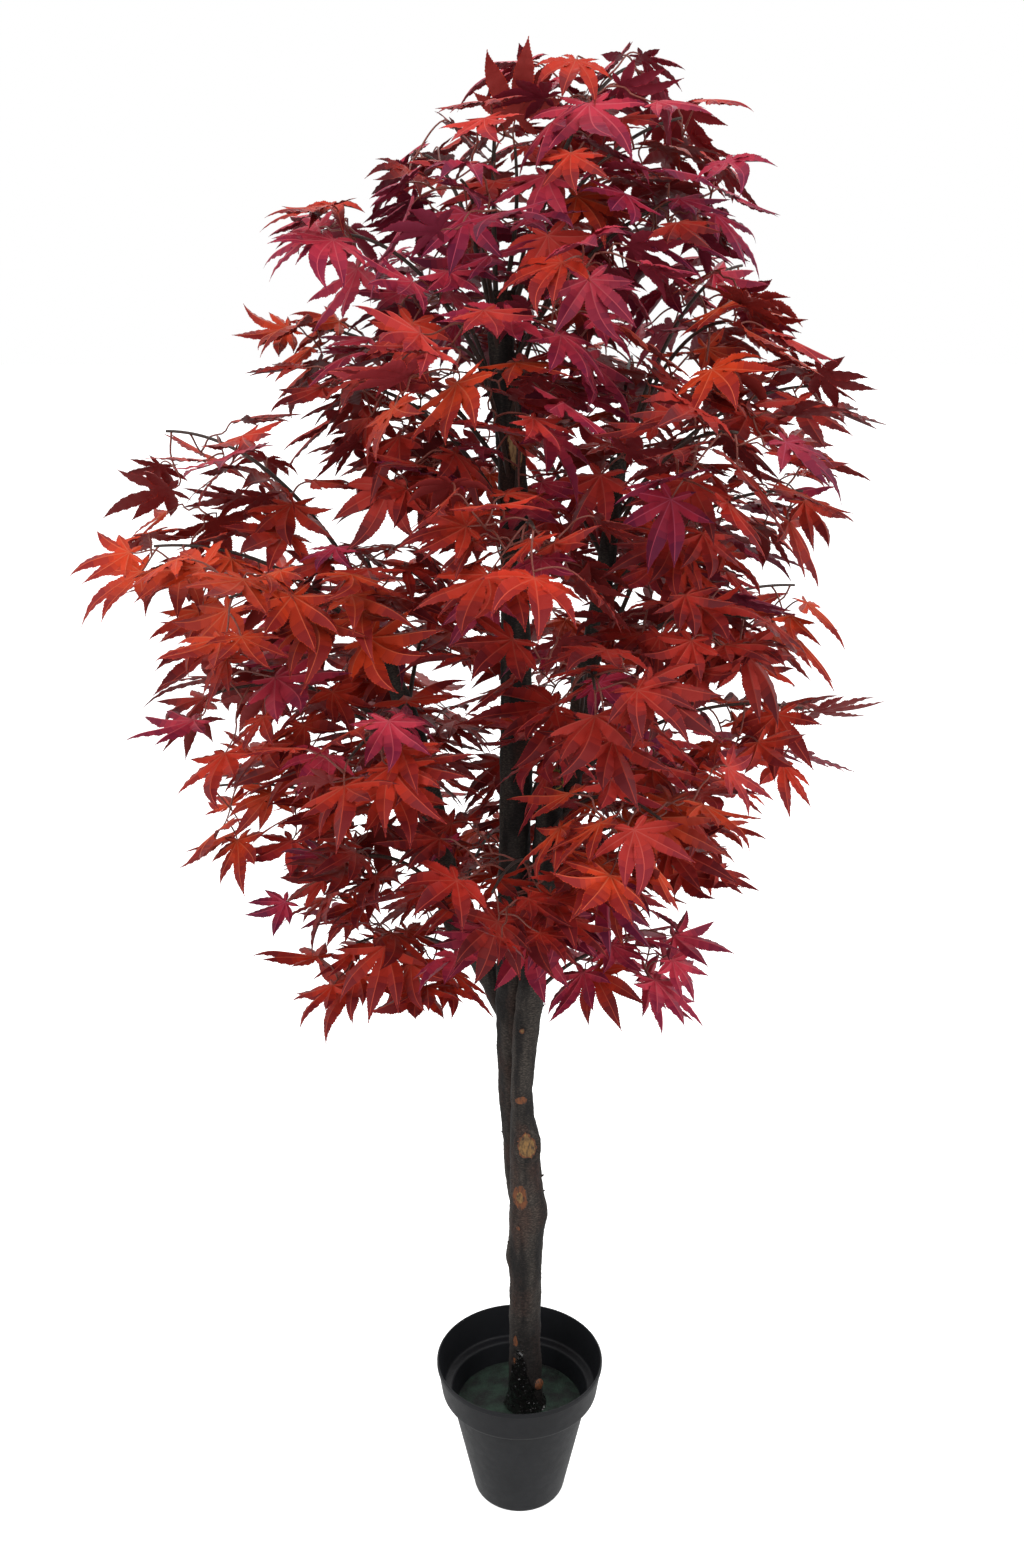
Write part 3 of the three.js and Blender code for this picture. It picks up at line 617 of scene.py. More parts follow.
def twig_curve(foliage, n):
    """The four control points of a leaf's twig, which leaves its parent and bends into the leaf's own way."""
    root, foot, forward = (foliage.held[part][n] for part in ("root", "foot", "forward"))
    length = np.linalg.norm(foot - root)
    if foliage.parent[n] < 0 and foliage.share[n] != 1:
        root = foliage.sprays[foliage.spray[n]].at(foliage.share[n])
    leaving = unit(unit(foot - root) + (0, 0, 0.45))
    return np.array([root, root + leaving * length * 0.4, foot - forward * length * 0.35, foot])


def on_curve(curve, t):
    """Points on a twig, which is curly: it waves to and fro about its curve."""
    t = np.asarray(t, float)[..., None]
    a, b, c, d = curve
    turns = TWIG_WAVE["turns"] * (1 + math.sin(7 * a[0]))
    aside = unit(np.cross(d - a, (math.cos(a[1]), math.sin(a[1]), 0.5)))
    wave = aside * np.sin(t * turns * math.pi + a[2]) * np.sin(math.pi * t)
    smooth = a * (1 - t) ** 3 + 3 * b * t * (1 - t) ** 2 + 3 * c * t * t * (1 - t) + d * t**3
    return smooth + wave * TWIG_WAVE["reach"] * np.linalg.norm(d - a)


# ---------- making meshes ----------


def piece(name, points, faces, materials, body_slot, nodes=(), slots=None, sharp=None):
    """A mesh that rides on the body, from points in millimetres and arrays of faces. slots gives each face's
    material by number, and sharp tells which points are on an edge that isn't smoothed."""
    mesh = bpy.data.meshes.new(name)
    mesh.from_pydata((points * MM).tolist(), [], [face for some in faces for face in some.tolist()])
    for material in materials:
        mesh.materials.append(MADE[material])
    if slots is not None:
        mesh.polygons.foreach_set("material_index", np.asarray(slots, np.int32))
    mesh.shade_smooth()
    if sharp is not None:
        ends = np.empty(2 * len(mesh.edges), np.int32)
        mesh.edges.foreach_get("vertices", ends)
        mesh.edges.foreach_set("use_edge_sharp", np.asarray(sharp)[ends].reshape(-1, 2).all(axis=1))
    made = bpy.data.objects.new(name, mesh)
    bpy.context.collection.objects.link(made)
    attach(made, "root")
    if nodes:
        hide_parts(*nodes)


def grid_faces(rows, columns):
    """Four-sided faces between rings of points."""
    i, j = np.meshgrid(np.arange(rows - 1), np.arange(columns), indexing="ij")
    after = (j + 1) % columns
    corners = [i * columns + j, i * columns + after, (i + 1) * columns + after, (i + 1) * columns + j]
    return np.stack(corners, axis=-1).reshape(-1, 4)


def closed(rings, *ends):
    """Points and faces of some rings, closed by a fan about the first end and, if it is given, the second."""
    rows, columns = rings.shape[:2]
    count = rows * columns
    j = np.arange(columns)
    after = (j + 1) % columns
    fans = [
        np.stack([np.full(columns, count), after, j], axis=1),
        np.stack([np.full(columns, count + 1), count - columns + j, count - columns + after], axis=1),
    ]
    return np.vstack([rings.reshape(-1, 3), *ends]), [grid_faces(rows, columns), *fans[: len(ends)]]


def turns(count):
    """Headings all round, in radians."""
    return np.arange(count) * 2 * math.pi / count


def rings_of(low, high, grid):
    """A value for each ring of a grid, and a heading for each point on it."""
    return np.meshgrid(np.linspace(low, high, grid[0]), turns(grid[1]), indexing="ij")


def rough(points, size, depth=3):
    """Noise from about -1 to 1 at each point, in lumps of the size given."""
    flat = np.asarray(points, float).reshape(-1, 3) / size
    values = [noise.fractal(Vector(p), 1.0, 2.0, depth) for p in flat]
    return np.array(values).reshape(np.shape(points)[:-1])


# ---------- materials ----------

# Plain surfaces: roughness, the noise that the base colour follows, where each colour is reached, and the
# relief as noises and their heights in millimetres. A noise is its scale, its detail and how it is stretched.
GRAIN = (420, 4, (1, 1, 0.35))
WRAPS = (700, 2, (1, 1, 0.4))
SURFACES = {
    "cut_wood": (0.7, GRAIN, [(0.3, (46, 30, 17)), (0.62, (132, 97, 50))], [((800, 3), 0.3)]),
    "stripped_wood": (0.7, GRAIN, [(0.3, (120, 84, 52)), (0.62, (204, 164, 112))], [((800, 3), 0.3)]),
    "stained_wood": (0.7, GRAIN, [(0.3, (48, 27, 16)), (0.62, (112, 60, 23))], [((800, 3), 0.3)]),
    "moss": (0.95, (500, 4), [(0.35, (92, 74, 28)), (0.7, (176, 152, 78))], [((1400, 2), 0.8)]),
    # The glue's last, grey-white colour stop gives flecks of painted glint in its black base colour.
    "glue": (
        0.1, (240, 2), [(0.3, (9, 8, 8)), (0.68, (22, 20, 19)), (0.76, (105, 105, 107))], [((170, 3), 2.4)],
    ),
    "pot_plastic": (
        0.5, (18, 4), [(0.3, (14, 15, 18)), (0.75, (21, 22, 26))], [((1200, 2), 0.12), ((18, 4), 0.4)],
    ),
    "fill": (0.85, (45, 4), [(0.38, (13, 18, 15)), (0.66, (33, 56, 43))], [((500, 4), 1.2)]),
    "stem_wire": (0.6, WRAPS, [(0.3, (38, 26, 22)), (0.75, (72, 50, 40))], [(WRAPS, 0.3)]),
    "twig_wire": (0.5, (900, 2), [(0.3, (92, 40, 32)), (0.75, (150, 76, 62))], [((900, 2), 0.15)]),
}

MADE = {}  # every material of the scene by its name


def linear(colour):
    """An sRGB colour, 0 to 255, as linear light."""
    c = np.array(colour, float) / 255
    return np.where(c <= 0.04045, c / 12.92, ((c + 0.055) / 1.055) ** 2.4)


def feed(tree, socket, value):
    """Sets a socket to a value, or links it to another node's output."""
    if isinstance(value, bpy.types.NodeSocket):
        tree.links.new(value, socket)
    else:
        socket.default_value = value


def shader_node(tree, kind, inputs, **settings):
    node = tree.nodes.new("ShaderNode" + kind)
    for name, value in settings.items():
        setattr(node, name, value)
    for name, value in inputs.items():
        feed(tree, node.inputs[name], value)
    return node


class Nodes:
    """A new material's node tree, with its Principled shader."""

    def __init__(self, name, roughness):
        self.material = MADE[name] = bpy.data.materials.new(name)
        self.material.use_nodes = True
        self.tree = self.material.node_tree
        self.place = self.output("Object", "TexCoord", {})
        self.set("Roughness", roughness)

    def output(self, name, kind, inputs, **settings):
        """One output of a new node."""
        return shader_node(self.tree, kind, inputs, **settings).outputs[name]

    def set(self, socket, value):
        feed(self.tree, self.tree.nodes["Principled BSDF"].inputs[socket], value)

    def noise(self, scale, detail=3, stretch=(1, 1, 1)):
        """Noise in lumps of about 1/scale metres, stretched along the axes given."""
        place = self.output("Vector", "Mapping", {"Vector": self.place, "Scale": stretch})
        return self.output("Fac", "TexNoise", {"Vector": place, "Scale": scale, "Detail": detail})

    def height(self, low, high):
        """A value that goes from 0 to 1 between two heights in metres."""
        z = self.output("Z", "SeparateXYZ", {"Vector": self.place})
        return self.output("Result", "MapRange", {"Value": z, "From Min": low, "From Max": high})

    def spread(self, value, low, high):
        """A value from 0 to 1 moved to a range."""
        return self.output("Result", "MapRange", {"Value": value, "To Min": low, "To Max": high})

    def mixed(self, a, b, factor):
        return self.output("Result", "Mix", {"Factor": factor, "A": a, "B": b}, data_type="RGBA")

    def ramp(self, value, *stops):
        """A colour for each value, from stops of position and sRGB colour."""
        node = shader_node(self.tree, "ValToRGB", {"Fac": value})
        elements = node.color_ramp.elements
        while len(elements) < len(stops):
            elements.new(0.5)
        for element, (position, colour) in zip(elements, stops):
            element.position = position
            element.color = (*linear(colour), 1)
        return node.outputs["Color"]

    def bump(self, *heights):
        """Relief from pairs of a noise and its height in millimetres."""
        below = {}
        for value, height in heights:
            inputs = {"Height": value, "Strength": 1, "Distance": height * MM, **below}
            below = {"Normal": self.output("Normal", "Bump", inputs)}
        self.set("Normal", below["Normal"])


def bark_material():
    """Near-black bark with grey streaks and reddish patches, plain black at the trunk's foot."""
    nodes = Nodes("bark", 0.75)
    nodes.set("Specular IOR Level", 0.25)
    fine = nodes.noise(420, 6, (0.8, 0.8, 2))
    black = nodes.ramp(fine, (0.3, (9, 8, 8)), (0.5, (22, 19, 18)), (0.72, (46, 40, 38)))
    grey = nodes.ramp(fine, (0.3, (30, 27, 25)), (0.5, (52, 47, 43)), (0.72, (84, 77, 70)))
    red = nodes.ramp(fine, (0.3, (32, 20, 17)), (0.5, (58, 38, 31)), (0.75, (92, 62, 50)))
    streaks = nodes.ramp(nodes.noise(48, 4, (1, 1, 0.16)), (0.44, (0, 0, 0)), (0.58, (255, 255, 255)))
    patches = nodes.ramp(nodes.noise(26, 3, (1, 1, 0.45)), (0.5, (0, 0, 0)), (0.66, (200, 200, 200)))
    clean = nodes.mixed(nodes.mixed(black, grey, streaks), red, patches)
    nodes.set("Base Color", nodes.mixed(black, clean, nodes.height(0.13, 0.33)))
    nodes.set("Roughness", nodes.spread(fine, 0.6, 0.9))
    nodes.bump((nodes.noise(1500, 3, (0.5, 0.5, 1.6)), 0.35), (nodes.noise(300, 3), 0.8))


def plain_materials():
    made = {}
    for name, (roughness, colour_noise, stops, relief) in SURFACES.items():
        made[name] = nodes = Nodes(name, roughness)
        nodes.set("Base Color", nodes.ramp(nodes.noise(*colour_noise), *stops))
        nodes.bump(*((nodes.noise(*lumps), height) for lumps, height in relief))
    made["glue"].set("Coat Weight", 1)
    made["glue"].set("Specular IOR Level", 0.9)
    pot = made["pot_plastic"]
    pot.set("Specular IOR Level", 0.24)
    pot.set("Roughness", pot.spread(pot.noise(90, 3), 0.42, 0.6))


# ---------- leaves: their meshes ----------

# Each lobe: heading from the middle lobe in degrees, length as a share of the leaf's, stations along it.
LOBES = [
    (-124, 0.36, 5), (-78, 0.66, 8), (-39, 0.87, 10), (0, 1.0, 11), (39, 0.87, 10), (78, 0.66, 8),
    (124, 0.36, 5),
]
# How far the slit after each lobe is from the stalk, as a share of the leaf's length.
SLITS = [0.11, 0.16, 0.19, 0.19, 0.16, 0.11, 0.03]
HUB = 0.02  # how far from the stalk the lobes' ribs part
LOBE_WIDTH = 0.265  # of a lobe, as a share of its length
WIDEST = 0.1393  # a lobe's shape at its widest, before it is scaled to that width
TOOTH = 0.015
PLEAT = {"pitch": 0.15, "depth": 0.008}  # creases between a lobe's side veins, as shares of the leaf's length
RIB = 0.9  # half-width of a lobe's rib at its root, in millimetres
# Lift of a lobe's ridge, underside and ribs, in millimetres: at its tip, and how much more at its root.
RIDGE_LIFT, UNDER_LIFT, RIB_LIFT = (0.35, 0.9), (-0.15, -0.5), (0.12, 0.3)
STALK_LIFTS = {"top": 1.1, "under": -0.7, "hub": 0.4}
# How unlike each other leaves and their lobes are: ranges, or spreads where there is one number.
BENDS = {
    "heading": 0.07, "swerve": 0.2, "sag": (-0.1, 0.2), "lobe_sag": 0.11, "fold": (0.1, 0.6),
    "lobe_fold": 0.15, "folded_down": 0.65, "curl": (-0.2, 0.9), "curl_from": 0.62, "length": (0.88, 1.08),
}
# How far along its lobe the print's flank colour reaches, on a rear lobe first and on the middle one last.
FLANK_REACH = (1.1, 0.5, 0.12, 0.05)
BLEND_REACH = 0.36  # of the two colours between the flank's and the panel's
TIP_FROM = 0.82
PRINTS = (0.2, 0.7, 1.0, 1.9, 3.2)  # how far the flank's colour goes in each version of the print
BLOTCH = 0.07
PARTS = ("flank", "shoulder", "waist", "panel", "tip", "ribs", "under", "edge")
FLANK, SHOULDER, WAIST, PANEL, TIP, RIBS, UNDER, EDGE = range(len(PARTS))
# Colours of a leaf's flank, ribs, panels, tips, underside and edges, for each tint's two prints. The cool one
# is commoner near the middle of the crown and at its top.
TINTS = {
    "leaves_scarlet": {
        "warm": ((190, 57, 27), (196, 84, 56), (132, 31, 29), (120, 29, 29), (136, 44, 40), (184, 58, 34)),
        "cool": ((188, 54, 46), (194, 76, 68), (136, 33, 43), (122, 31, 43), (136, 44, 50), (176, 54, 48)),
    },
    "leaves_crimson": {
        "warm": ((182, 48, 30), (184, 70, 52), (116, 27, 30), (108, 26, 30), (122, 38, 38), (168, 50, 36)),
        "cool": ((184, 50, 68), (192, 76, 88), (126, 30, 56), (110, 28, 56), (130, 42, 58), (166, 46, 62)),
    },
    "leaves_wine": {
        "warm": ((160, 38, 28), (164, 60, 48), (97, 22, 27), (92, 22, 28), (110, 34, 36), (148, 41, 34)),
        "cool": ((158, 37, 58), (170, 62, 84), (100, 24, 52), (90, 24, 52), (116, 38, 58), (140, 38, 58)),
    },
}
SHADES = (1.14, 1.0, 0.85)  # how light a leaf is, beside its tint
SHADE_WEIGHTS = (0.3, 0.42, 0.28)
ODD_LEAVES = 0.12  # share of a spray's leaves that have the other print
MOST_LEAVES = 195  # in one piece, to keep it under 200,000 triangles


class LeafPattern:
    """One leaf, flat: each point's lobe, its place along and across the lobe as shares of the leaf's length,
    its lift in millimetres, and whether it is on the leaf's edge. Its upper face has toothed edges."""

    def __init__(self, reach):
        self.reach = reach
        self.chance = np.random.default_rng(int(reach * 10))
        self.rows = []
        self.faces, self.slots = {3: [], 4: []}, {3: [], 4: []}
        centres = [self.point(3, 0, 0, STALK_LIFTS[face]) for face in ("top", "under")]
        notches = [self.notch(i, SLITS[i], 0, True) for i in range(len(LOBES))]
        hubs = [self.notch(i, HUB, STALK_LIFTS["hub"], False) for i in range(len(LOBES))]
        for i in range(len(LOBES)):
            self.lobe(i, centres, (hubs[i - 1], notches[i - 1], -1), (hubs[i], notches[i], 1))
        self.place = np.array([row[:4] for row in self.rows], float)
        self.edge = np.array([row[4] for row in self.rows])

    def point(self, lobe, along, across, lift, edge=False):
        self.rows.append((lobe, along, across, lift, edge))
        return len(self.rows) - 1

    def notch(self, lobe, reach, lift, edge):
        """A point midway between a lobe's way and the next one's."""
        half = math.radians((LOBES[(lobe + 1) % len(LOBES)][0] - LOBES[lobe][0]) % 360) / 2
        return self.point(lobe, reach * math.cos(half), reach * math.sin(half), lift, edge)

    def slot_at(self, lobe, t):
        """The part of the print that a place on the upper face is in. Its borders are blotchy."""
        flank = FLANK_REACH[min(lobe, len(LOBES) - 1 - lobe)] * self.reach
        t = t + self.chance.normal(0, BLOTCH)
        if t > TIP_FROM and flank < 0.8:
            return TIP
        bands = (t - flank) / BLEND_REACH * 2
        return FLANK if bands < 0 else SHOULDER if bands < 1 else WAIST if bands < 2 else PANEL

    def lobe(self, lobe, centres, *sides):
        length, stations = LOBES[lobe][1:]
        slits = [self.slit_from(lobe, notch) for _, notch, _ in sides]
        shares = np.linspace(0, 1, stations)
        reaches = lerp(max(0.12 * length, sum(slits) / 2), length, shares)[:-1]
        spots = list(zip(reaches, 1 - reaches / length))
        tip = self.point(lobe, length, 0, 0, True)
        middles = []
        for centre, (at_tip, more) in zip(centres, (RIDGE_LIFT, UNDER_LIFT)):
            middles.append([centre, *(self.point(lobe, r, 0, at_tip + more * f) for r, f in spots), tip])
        for (hub, notch, sign), slit in zip(sides, slits):
            half = sign * RIB / REAL_LENGTH
            ribs = [hub]
            for r, f in spots:
                ribs.append(self.point(lobe, r, half * (0.35 + 0.65 * f), RIB_LIFT[0] + RIB_LIFT[1] * f))
            edge = self.toothed_edge(lobe, sign, slit, notch, tip, shares)
            self.side(lobe, sign, *middles, [*ribs, tip], edge, shares)

    def slit_from(self, lobe, notch):
        """How far along a lobe a notch beside it is."""
        other, along, across = self.rows[notch][:3]
        apart = math.radians(LOBES[other][0] - LOBES[lobe][0])
        return along * math.cos(apart) - across * math.sin(apart)

    def toothed_edge(self, lobe, sign, slit, notch, tip, shares):
        """The edge from a notch to the lobe's tip, with two teeth from each station to the next. A lobe is
        widest before its middle and drawn out to its tip."""
        length = LOBES[lobe][1]
        edge = [notch]
        for t in shares[:-1]:
            for place, out in ((0.36, 1), (0.5, 0), (0.86, 1), (1, 0)):
                along = lerp(slit, length, t + place * shares[1])
                share = min(along / length, 1)
                half = LOBE_WIDTH / 2 * length * share**1.35 * (1 - share) ** 1.5 / WIDEST
                across = sign * (half + out * TOOTH * (0.4 + 0.6 * (1 - t)))
                edge.append(self.point(lobe, along, across, 0, True))
        edge[-1] = tip
        return edge

    def side(self, lobe, sign, tops, unders, ribs, edge, shares):
        """One side of a lobe: its half of the rib, its panel and its underside."""

        def laid(slot, *corners):
            self.faces[len(corners)].append(corners if sign > 0 else corners[::-1])
            self.slots[len(corners)].append(slot)

        laid(RIBS, tops[0], tops[1], ribs[1], ribs[0])
        laid(FLANK, ribs[0], ribs[1], edge[0])
        laid(UNDER, edge[0], unders[1], unders[0])
        last = len(tops) - 2
        for i in range(1, last + 1):
            start, tooth, notch, next_tooth, end = edge[4 * i - 4 : 4 * i + 1]
            if i < last:
                slot = self.slot_at(lobe, shares[i - 1])
                laid(RIBS, tops[i], tops[i + 1], ribs[i + 1], ribs[i])
                laid(slot, ribs[i], ribs[i + 1], notch)
                laid(slot, ribs[i], notch, start)
                laid(slot, ribs[i + 1], end, notch)
                laid(UNDER, unders[i], notch, unders[i + 1])
            else:
                laid(TIP, tops[i], end, ribs[i])
                laid(TIP, ribs[i], end, notch)
                laid(TIP, ribs[i], notch, start)
            laid(UNDER, unders[i], start, notch)
            laid(UNDER, unders[i + 1] if i < last else unders[i], notch, end)
            laid(EDGE, notch, tooth, start)
            laid(EDGE, end, next_tooth, notch)


def leaf_points(pattern, leaves, chance):
    """Where a pattern's points go on each leaf. Every lobe turns, bends, sags and folds its own way."""
    count = len(leaves.size)
    lobe = pattern.place[:, 0].astype(int)
    along, across, lift = pattern.place[:, 1:].T

    def by_lobe(draw, *range_of):
        """A draw for each lobe of each leaf, given to all the points of that lobe."""
        return draw(*range_of, (count, len(LOBES)))[:, lobe]

    heading = np.radians([row[0] for row in LOBES])[lobe] + by_lobe(chance.normal, 0, BENDS["heading"])
    heading = heading + by_lobe(chance.normal, 0, BENDS["swerve"]) * along**2
    sag = chance.uniform(*BENDS["sag"], (count, 1)) + by_lobe(chance.normal, 0, BENDS["lobe_sag"])
    down = chance.choice([-1, 1], (count, 1), p=[BENDS["folded_down"], 1 - BENDS["folded_down"]])
    fold = down * chance.uniform(*BENDS["fold"], (count, 1)) + by_lobe(chance.normal, 0, BENDS["lobe_fold"])
    curl = by_lobe(chance.uniform, *BENDS["curl"])
    length = np.array([row[1] for row in LOBES])[lobe]
    along = along * by_lobe(chance.uniform, *BENDS["length"])
    x = along * np.cos(heading) - across * np.sin(heading)
    y = along * np.sin(heading) + across * np.cos(heading)
    z = fold * np.abs(across) - sag * along**2
    z = z - curl * np.maximum(0, along / length - BENDS["curl_from"]) ** 2 * length
    phase = by_lobe(chance.uniform, 0, 2 * math.pi)
    pleats = np.sin((along - 0.6 * np.abs(across)) * 2 * math.pi / PLEAT["pitch"] + phase)
    z = z + PLEAT["depth"] * pleats * smoothstep(0.01, 0.08, np.abs(across))
    size = leaves.size[:, None, None]
    side = np.cross(leaves.normal, leaves.forward)
    return (
        leaves.foot[:, None]
        + leaves.forward[:, None] * x[..., None] * size
        + side[:, None] * y[..., None] * size
        + leaves.normal[:, None] * (z[..., None] * size + lift[:, None])
    )


def leaf_materials(tint):
    """Dyed fabric, each part in one plain base colour, with a fine weave: by print, by shade and by part."""
    made = []
    for kind, colours in TINTS[tint].items():
        flank, ribs, panel, tip, under, edge = (linear(colour) for colour in colours)
        shoulder, waist = lerp(flank, panel, 0.33), lerp(flank, panel, 0.67)
        for shade, light in enumerate(SHADES):
            for part, colour in zip(PARTS, (flank, shoulder, waist, panel, tip, ribs, under, edge)):
                name = f"{tint}_{kind}_{shade}_{part}"
                nodes = Nodes(name, 0.55)
                nodes.set("Base Color", (*(colour * light), 1))
                nodes.set("Specular IOR Level", 0.16)
                nodes.bump((nodes.noise(1600, 2), 0.12))
                made.append(name)
    return made


def coolness(s):
    """How likely a spray is to have the cool print."""
    high = smoothstep(1250, 1650, s.end[2])
    central = 1 - smoothstep(80, 300, math.hypot(*s.end[:2]))
    return min(0.92, 0.15 + 0.5 * high + 0.5 * central)


def spray_groups(foliage, tint):
    """The sprays of a tint, in groups of at most so many leaves."""
    groups, held = [[]], 0
    for s in foliage.sprays[tint :: len(TINTS)]:
        count = foliage.spray.count(s.index)
        if held + count > MOST_LEAVES:
            groups.append([])
            held = 0
        groups[-1].append(s)
        held += count
    return groups


def leaf_pieces(foliage):
    """The leaves, joined by tint into pieces that each stand for some of the foliage nodes."""
    patterns = [LeafPattern(reach) for reach in PRINTS]
    pattern = patterns[0]
    chance = np.random.default_rng(SEED)
    points = leaf_points(pattern, foliage.leaves(), chance)
    shade = chance.choice(len(SHADES), len(points), p=SHADE_WEIGHTS)
    version = chance.integers(len(patterns), size=len(points))
    cool_sprays = np.array([chance.random() < coolness(s) for s in foliage.sprays])
    cool = cool_sprays[foliage.spray] ^ (chance.random(len(points)) < ODD_LEAVES)
    base = (cool * len(SHADES) + shade) * len(PARTS)
    for t, tint in enumerate(TINTS):
        materials = leaf_materials(tint)
        for number, group in enumerate(spray_groups(foliage, t), 1):
            chosen = np.flatnonzero(np.isin(foliage.spray, [s.index for s in group]))
            first = (np.arange(len(chosen)) * len(pattern.place))[:, None, None]
            faces, slots = [], []
            for corners, rows in pattern.faces.items():
                faces.append((first + np.array(rows)).reshape(-1, corners))
                prints = np.array([each.slots[corners] for each in patterns])
                slots.append((base[chosen][:, None] + prints[version[chosen]]).ravel())
            flat = points[chosen].reshape(-1, 3)
            names = [s.name for s in group]
            sharp = np.tile(pattern.edge, len(chosen))
            piece(f"{tint}_{number}", flat, faces, materials, tint, names, np.concatenate(slots), sharp)


# ---------- stems and twigs: their meshes ----------


def tubes(curves, radii, sides):
    """Closed tubes along curves of equally many points."""
    along = unit(np.gradient(curves, axis=1))
    mean = unit(curves[:, -1] - curves[:, 0])
    least = np.eye(3)[np.abs(mean).argmin(axis=1)]
    across = unit(np.cross(along, least[:, None]))
    beside = np.cross(along, across)
    angles = turns(sides)
    ring = across[:, :, None] * np.cos(angles)[:, None] + beside[:, :, None] * np.sin(angles)[:, None]
    points = curves[:, :, None] + ring * np.asarray(radii)[:, :, None, None]
    count, steps = curves.shape[:2]
    first = (np.arange(count) * steps * sides)[:, None, None]
    walls = (first + grid_faces(steps, sides)).reshape(-1, 4)
    start = first[:, 0] + np.arange(sides)
    ends = np.concatenate([start[:, ::-1], start + (steps - 1) * sides])
    return points.reshape(-1, 3), [walls, ends]


# Each kind of wire: points along it, sides, radius at its root and at its tip, and surface.
WIRES = {
    "stems": (30, 8, (STEM["base"], STEM["tip"]), "stem_wire"),
    "twigs": (11, 5, (1.25, 0.8), "twig_wire"),
}


def wires_piece(name, places, foliage):
    """Stems or twigs as one piece, from functions that give the points along each."""
    steps, sides, radii, material = WIRES[name]
    t = np.linspace(0, 1, steps)
    curves = np.array([at(t) for at in places])
    radii = np.tile(lerp(*radii, t), (len(curves), 1))
    piece(name, *tubes(curves, radii, sides), [material], "bark", [s.name for s in foliage.sprays])


def stems_and_twigs(foliage):
    wires_piece("stems", [s.at for s in foliage.sprays], foliage)
    twigs = [twig_curve(foliage, n) for n in range(len(foliage.spray))]
    wires_piece("twigs", [partial(on_curve, curve) for curve in twigs], foliage)


# ---------- timber ----------

# How finely each surface is divided: the rows and columns of its grid.
GRIDS = {
    "trunk": (440, 76), "leader": (480, 60), "left_bough": (260, 48), "right_bough": (220, 44),
    "scar": (22, 56), "stub": (24, 36), "moss": (24, 60), "glue": (64, 140), "fill": (70, 180),
}
BARK_RELIEF = {"ridges": 1.1, "lumps": 1.2, "dashes": 0.6, "grain": 0.25}  # heights in millimetres
# Swellings: limb, height, heading, half-width, half-height, and how far each stands out.
SWELLINGS = [
    ("trunk", 360, 192, 7, 18, 5),
    ("trunk", 424, 352, 14, 22, 6.5),
    ("trunk", 457, 250, 9, 17, 1.2),
    ("trunk", 531, 279, 14, 24, 3),
    ("trunk", 527, 340, 9, 18, 3.5),
    ("trunk", 594, 262, 6, 8, 1),
    ("trunk", 690, 250, 4, 6, 0.8),
    ("leader", 1383, 285, 9, 22, 0.8),
]
# Wounds in the bark: limb, height, heading, half-width, half-height, how far its rim stands up, the shares of
# its reach that the bare wood and the stained wood round it take up, and the bare wood's own surface.
SCARS = {
    "large_scar": ("trunk", 531, 279, 14, 23, 3, 0.62, 0.72),
    "long_scar": ("trunk", 457, 250, 9, 18, 0.9, 0.42, 0.95),
    "small_scar": ("trunk", 594, 268, 7, 5, 0.4, 0.0, 0.95),
    "speck_scar": ("trunk", 411, 243, 2.4, 4, 0.2, 0.0, 0.9),
    "knot": ("trunk", 690, 250, 3, 4, 0.7, 0.5, 0.9),
    "foot_scar": ("trunk", 236, 232, 5, 12, 0.3, 0.0, 0.62),
    "foot_scar_low": ("trunk", 205, 228, 4, 9, 0.3, 0.0, 0.5),
    "leader_scar": ("leader", 1383, 292, 8.5, 24, 0.6, 0.85, 0.95, "stripped_wood"),
}
BARE, STAINED, BARK = range(3)
# Chips of bark that stand off the timber: limb, height, heading, length and half-width.
CHIPS = [
    ("trunk", 476, 352, 3.2, 2.4),
    ("trunk", 452, 0, 1.8, 1.6),
    ("trunk", 379, 196, 1.6, 3),
    ("leader", 520, 184, 1.4, 1.6),
    ("trunk", 715, 2, 1.8, 2.6),
]
STUB = {"height": 163, "heading": 312, "radius": 7.5, "reach": 6}
MOSS = {"rise": 9.5, "hang": 9, "fibres": 700}
GLUE = {"heading": 245, "back": 8, "front": 122, "ragged": 14}


def limb_surface(name, heights, angles):
    """Points on a limb's bark, and the outward ways there."""
    centre, radius = limb_at(LIMBS[name], heights)
    out = polar(1, angles, 0)
    for limb, height, heading, wide, tall, stands in SWELLINGS:
        if limb == name:
            turned = np.angle(np.exp(1j * (angles - math.radians(heading)))) * radius
            radius = radius + stands * np.exp(-((turned / wide) ** 2) - ((heights - height) / tall) ** 2)
    points = centre + out * radius[..., None]
    ridges = rough(points * (1, 1, 0.16), 11, 2)
    lumps = rough(points + 50, 22, 2)
    dashes = rough(points * (0.35, 0.35, 1.5) + 90, 4.5, 2)
    grain = rough(points + 10, 2.6, 2)
    shapes = (ridges, lumps, np.clip(dashes, 0, 1), grain)
    relief = sum(height * shape for height, shape in zip(BARK_RELIEF.values(), shapes))
    return points + out * relief[..., None], out


def limb_piece(name, limb):
    points = limb_surface(name, *rings_of(limb[0, 0], limb[-1, 0], GRIDS[name]))[0]
    body = closed(points, points[0].mean(axis=0), points[-1].mean(axis=0))
    piece(name + "_bark", *body, ["bark"], "bark", [name])


